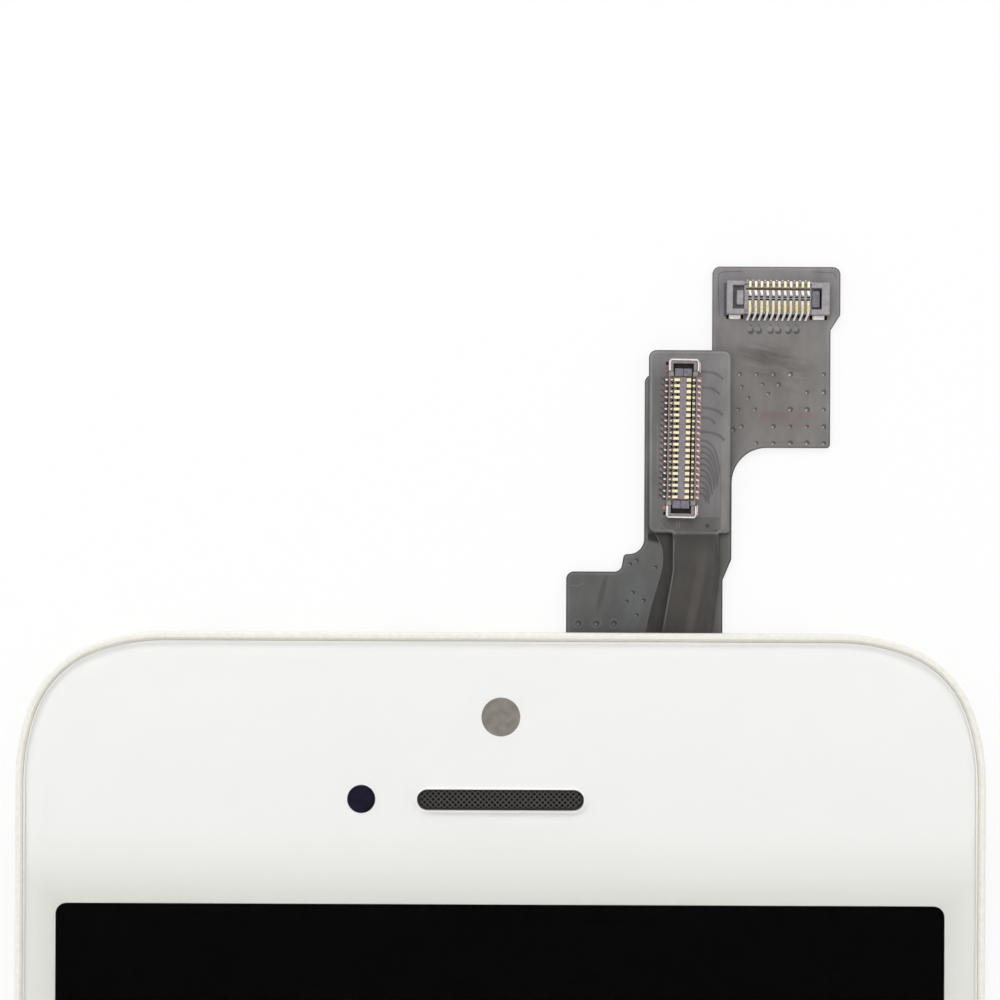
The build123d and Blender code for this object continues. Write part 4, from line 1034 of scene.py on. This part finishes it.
# Each row gets a ridge painted as a shadow beside its solder, and the later rows a ridge painted as a glint.
for index in range(contact_rows):
    y = row_reach - index * contact_pitch
    shadow = ((-1.07, y - 0.01), (-1.17, y + 0.05), (-1.27, y + 0.12))
    solder_and_shading_parts.append(ridge(shadow, 0, 0.09, 0.016, via_shade))
    if index > contact_rows / 3:
        glint = ((-1.07, y + 0.15), (-1.15, y + 0.20), (-1.23, y + 0.26))
        solder_and_shading_parts.append(ridge(glint, 0, 0.06, 0.018, via_light))
mount(join(solder_and_shading_parts, "display_solder_and_shading"), display_seat, "flex_film")

clip_parts = []
for end in (-1, 1):
    clip = (
        (-0.80, end * 3.97), (-0.80, end * 4.50), (-0.71, end * 4.60),
        (0.77, end * 4.60), (0.86, end * 4.50), (0.86, end * 3.97),
    )
    for (x0, y0), (x1, y1) in zip(clip, clip[1:]):
        run = hypot(x1 - x0, y1 - y0) / 2
        leg = block((-run - 0.03, -0.045, 0.0), (run + 0.03, 0.045, 0.60), white_tin)
        leg.rotation_euler = (0, 0, atan2(y1 - y0, x1 - x0))
        leg.location = ((x0 + x1) / 2 * mm, (y0 + y1) / 2 * mm, 0)
        clip_parts.append(leg)
    clip_parts.append(block((0.94, end * 3.86, 0.0), (1.03, end * 4.46, 0.09), pink_tin, 0.03))
    clip_parts.append(block((-1.04, end * 3.86, 0.0), (-0.90, end * 4.14, 0.07), red_flux, 0.03))
    # A patch on the flex painted dark as shade beside the clip.
    clip_parts.append(block((-1.00, end * 4.30, 0.0), (-0.88, end * 4.48, 0.03), gap_shade, 0.01))
mount(join(clip_parts, "display_clips"), display_seat, "nickel_plate", "display_connector_nails")

# Touch connector. Its contacts lap over the walls of a lower housing, with the
# lower row's tails drawn aside, and two flat nails hold it to the head.
touch_rows = 11
row_shift = -0.07
nail_spans = ((2.15, 2.83), (-2.76, -2.06))
nail_gap = 0.08
touch_low, touch_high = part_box("touch_connector_housing")
touch_seat = ((touch_low + touch_high) / 2, radians(89.6), touch_top)
film_grey = mottled("film_grey_polymer", (168, 165, 168), (148, 145, 148), 0.5, 5.0, 0.003 * mm, specular=0.3)
well_slate = mottled("well_slate", (106, 104, 108), (88, 86, 90), 0.7, 5.0, 0.002 * mm, specular=0.1)


def shifted(places):
    """Places moved along the row to where its contacts stand."""
    return [(across, along + row_shift, height) for across, along, height in places]


body_parts = [
    block((-0.90, -2.54, 0.0), (0.90, 2.65, 0.30), well_slate),
    block((-0.90, -1.97, 0.0), (0.90, 1.97, 0.38), film_grey),
    block((0.49, -1.90, 0.30), (0.61, 1.90, 0.39), well_brown, 0.01),
    block((-0.11, -1.95, 0.05), (0.13, 1.95, 0.41), film_grey),
    block((0.85, -1.98, 0.0), (0.97, 1.98, 0.52), film_grey, 0.03),
    block((-0.82, -1.98, 0.0), (-0.90, 1.98, 0.50), film_grey, 0.03),
    block((-0.94, 2.64, 0.0), (1.02, 2.98, 0.56), film_grey, 0.05),
    block((0.76, 1.96, 0.0), (1.01, 2.80, 0.55), film_grey, 0.04),
    block((-0.62, 1.96, 0.0), (-0.93, 2.80, 0.55), film_grey, 0.04),
    block((-0.38, 2.02, 0.0), (0.46, 2.41, 0.50), film_grey, 0.04),
    block((-0.94, -2.56, 0.0), (0.96, -3.02, 0.56), film_grey, 0.05),
    block((0.62, -1.96, 0.0), (0.95, -2.80, 0.55), film_grey, 0.04),
    block((-0.62, -1.96, 0.0), (-0.93, -2.80, 0.55), film_grey, 0.04),
    block((-0.50, -2.00, 0.0), (0.46, -2.44, 0.50), blue_polymer, 0.04),
    block((-1.05, 3.00, -0.005), (0.92, 3.13, 0.02), well_slate, 0.01),
    # A line painted dark as shade.
    block((-0.50, -2.46, 0.05), (0.52, -2.55, 0.32), gap_shade, 0.01),
]
touch_body_piece = join(body_parts, "touch_connector_body")
mount(touch_body_piece, touch_seat, "connector_plastic", "touch_connector_housing")

touch_strips = (
    (((1.00, 0, 0.30), (0.99, 0, 0.54), (0.67, 0, 0.56), (0.65, 0, 0.36)), 0.14, cream_gold),
    (((0.47, 0.01, 0.36), (0.45, 0.01, 0.46), (0.22, -0.02, 0.50), (0.16, -0.04, 0.40)), 0.14, white_tin),
    (((-0.13, 0, 0.40), (-0.16, 0, 0.48), (-0.40, 0, 0.47), (-0.42, 0, 0.40)), 0.13, cream_gold),
    (((-0.42, 0, 0.40), (-0.46, 0, 0.55), (-0.80, 0, 0.55)), 0.15, pale_gold),
    (((-0.79, 0, 0.56), (-0.96, 0.03, 0.44), (-1.12, 0.09, 0.24), (-1.26, 0.12, 0.10)), 0.12, white_tin),
)
touch_blocks = (
    (((-1.28, 0.06, 0.0), (-1.20, 0.18, 0.05)), white_tin, 0.02),
    (((1.03, 0.07, 0.0), (1.11, 0.17, 0.06)), white_tin, 0.02),
    # Blocks painted dark as the shade between the contacts.
    (((0.04, -0.10, 0.36), (0.12, 0.10, 0.42)), gap_shade, 0.01),
    (((-0.02, -0.10, 0.36), (-0.10, 0.10, 0.42)), gap_shade, 0.01),
)
contact_parts = [ribbon(shifted(route), width, metal) for route, width, metal in touch_strips]
contact_parts += [block(*shifted(corners), tone, edge) for corners, tone, edge in touch_blocks]
touch_contacts = row(contact_parts, "touch_contacts", touch_rows)
mount(touch_contacts, touch_seat, "gold_plate", "touch_connector_contacts")

tail_shade = block(*shifted(((-0.96, -0.06, -0.005), (-1.12, 0.08, 0.02))), well_shade, 0.01)
mount(row([tail_shade], "tail_shades", touch_rows - 1), touch_seat, "flex_film")

nail_parts = []
for low, high in nail_spans:
    nail_parts.append(block((-1.21, low, 0.0), (-0.93, high, 0.16), white_tin, 0.05))
    # Patches on the flex painted dark as shade at each end of the nail.
    for gap in (low - nail_gap, high + nail_gap):
        near = (-1.20, gap - nail_gap, -0.005)
        far = (-0.97, gap + nail_gap, 0.02)
        nail_parts.append(block(near, far, gap_shade, 0.01))
mount(join(nail_parts, "touch_nails"), touch_seat, "nickel_plate", "touch_connector_nails")

# Studio. A white table under soft lamps, seen from straight above the
# flexes, with a dark ceiling over the camera.
table_size = 4.0
table_drop = 0.02 * mm
glow_share = 0.8
ceiling_place = (0, 0.27, 0)
ceiling_stretch = (0.55, 1, 0)
ceiling_edge = (0.17, 0.27)
ceiling_light = 0.02
room_light = 0.78
subject = Vector((0.0, 0.06, 0.0))
lamps = (
    ("window_lamp", (-0.10, 0.42, 0.54), 0.45, 1.35),
    ("left_lamp", (-0.50, 0.00, 0.40), 0.35, 0.3),
    ("right_lamp", (0.52, 0.10, 0.40), 0.35, 0.3),
)
camera_height = 180 * mm
camera_x = -0.105 * mm
camera_y = 68.72 * mm
camera_turn = radians(0.25)
view_width = 58.22 * mm
sensor_width = 36
near_clip = 0.01

bpy.ops.mesh.primitive_plane_add(size=table_size, location=(0, 0, -table_drop))
table_top = bpy.context.object
table_top.name = "table_top"
table_white, table_shader = finish("table_white", (250, 250, 250), 0.9, specular=0.0)
table_glow = node(table_white, "ShaderNodeEmission")
table_glow.inputs["Color"].default_value = (1, 1, 1, 1)
table_mix = node(table_white, "ShaderNodeMixShader")
table_path = node(table_white, "ShaderNodeLightPath")
seen = table_path.outputs["Is Camera Ray"]
for ray in ("Is Glossy Ray", "Is Transmission Ray"):
    seen = reckon(table_white, "MAXIMUM", seen, table_path.outputs[ray])
table_output = table_white.node_tree.nodes["Material Output"]
link(table_white, reckon(table_white, "MULTIPLY", seen, glow_share), table_mix.inputs["Fac"])
link(table_white, table_shader.outputs["BSDF"], table_mix.inputs[1])
link(table_white, table_glow.outputs["Emission"], table_mix.inputs[2])
link(table_white, table_mix.outputs["Shader"], table_output.inputs["Surface"])
dress(table_top, table_white)

room = bpy.data.worlds.new("room")
bpy.context.scene.world = room
room.use_nodes = True
backdrop = room.node_tree.nodes["Background"]
backdrop.inputs["Color"].default_value = (1, 1, 1, 1)
direction = node(room, "ShaderNodeTexCoord")
ceiling = node(room, "ShaderNodeMapping")
ceiling.inputs["Location"].default_value = ceiling_place
ceiling.inputs["Scale"].default_value = ceiling_stretch
reach = node(room, "ShaderNodeVectorMath", operation="LENGTH")
shade = spread(room, reach.outputs["Value"], ceiling_light, room_light, *ceiling_edge)
shade.node.interpolation_type = "SMOOTHSTEP"
link(room, direction.outputs["Generated"], ceiling.inputs["Vector"])
link(room, ceiling.outputs["Vector"], reach.inputs[0])
link(room, shade, backdrop.inputs["Strength"])

for lamp_name, place, width, power in lamps:
    lamp_data = bpy.data.lights.new(lamp_name, "AREA")
    lamp_data.shape = "SQUARE"
    lamp_data.size = width
    lamp_data.energy = power
    lamp = bpy.data.objects.new(lamp_name, lamp_data)
    bpy.context.scene.collection.objects.link(lamp)
    lamp.location = place
    lamp.rotation_euler = (subject - Vector(place)).to_track_quat("-Z", "Y").to_euler()

camera_data = bpy.data.cameras.new("camera")
camera_data.sensor_width = sensor_width
camera_data.angle = 2 * atan(view_width / 2 / camera_height)
camera_data.clip_start = near_clip
camera = bpy.data.objects.new("camera", camera_data)
bpy.context.scene.collection.objects.link(camera)
camera.location = (camera_x, camera_y, glass_low.z + camera_height)
camera.rotation_euler = (0, 0, camera_turn)
bpy.context.scene.camera = camera
bpy.context.scene.view_settings.view_transform = "Standard"
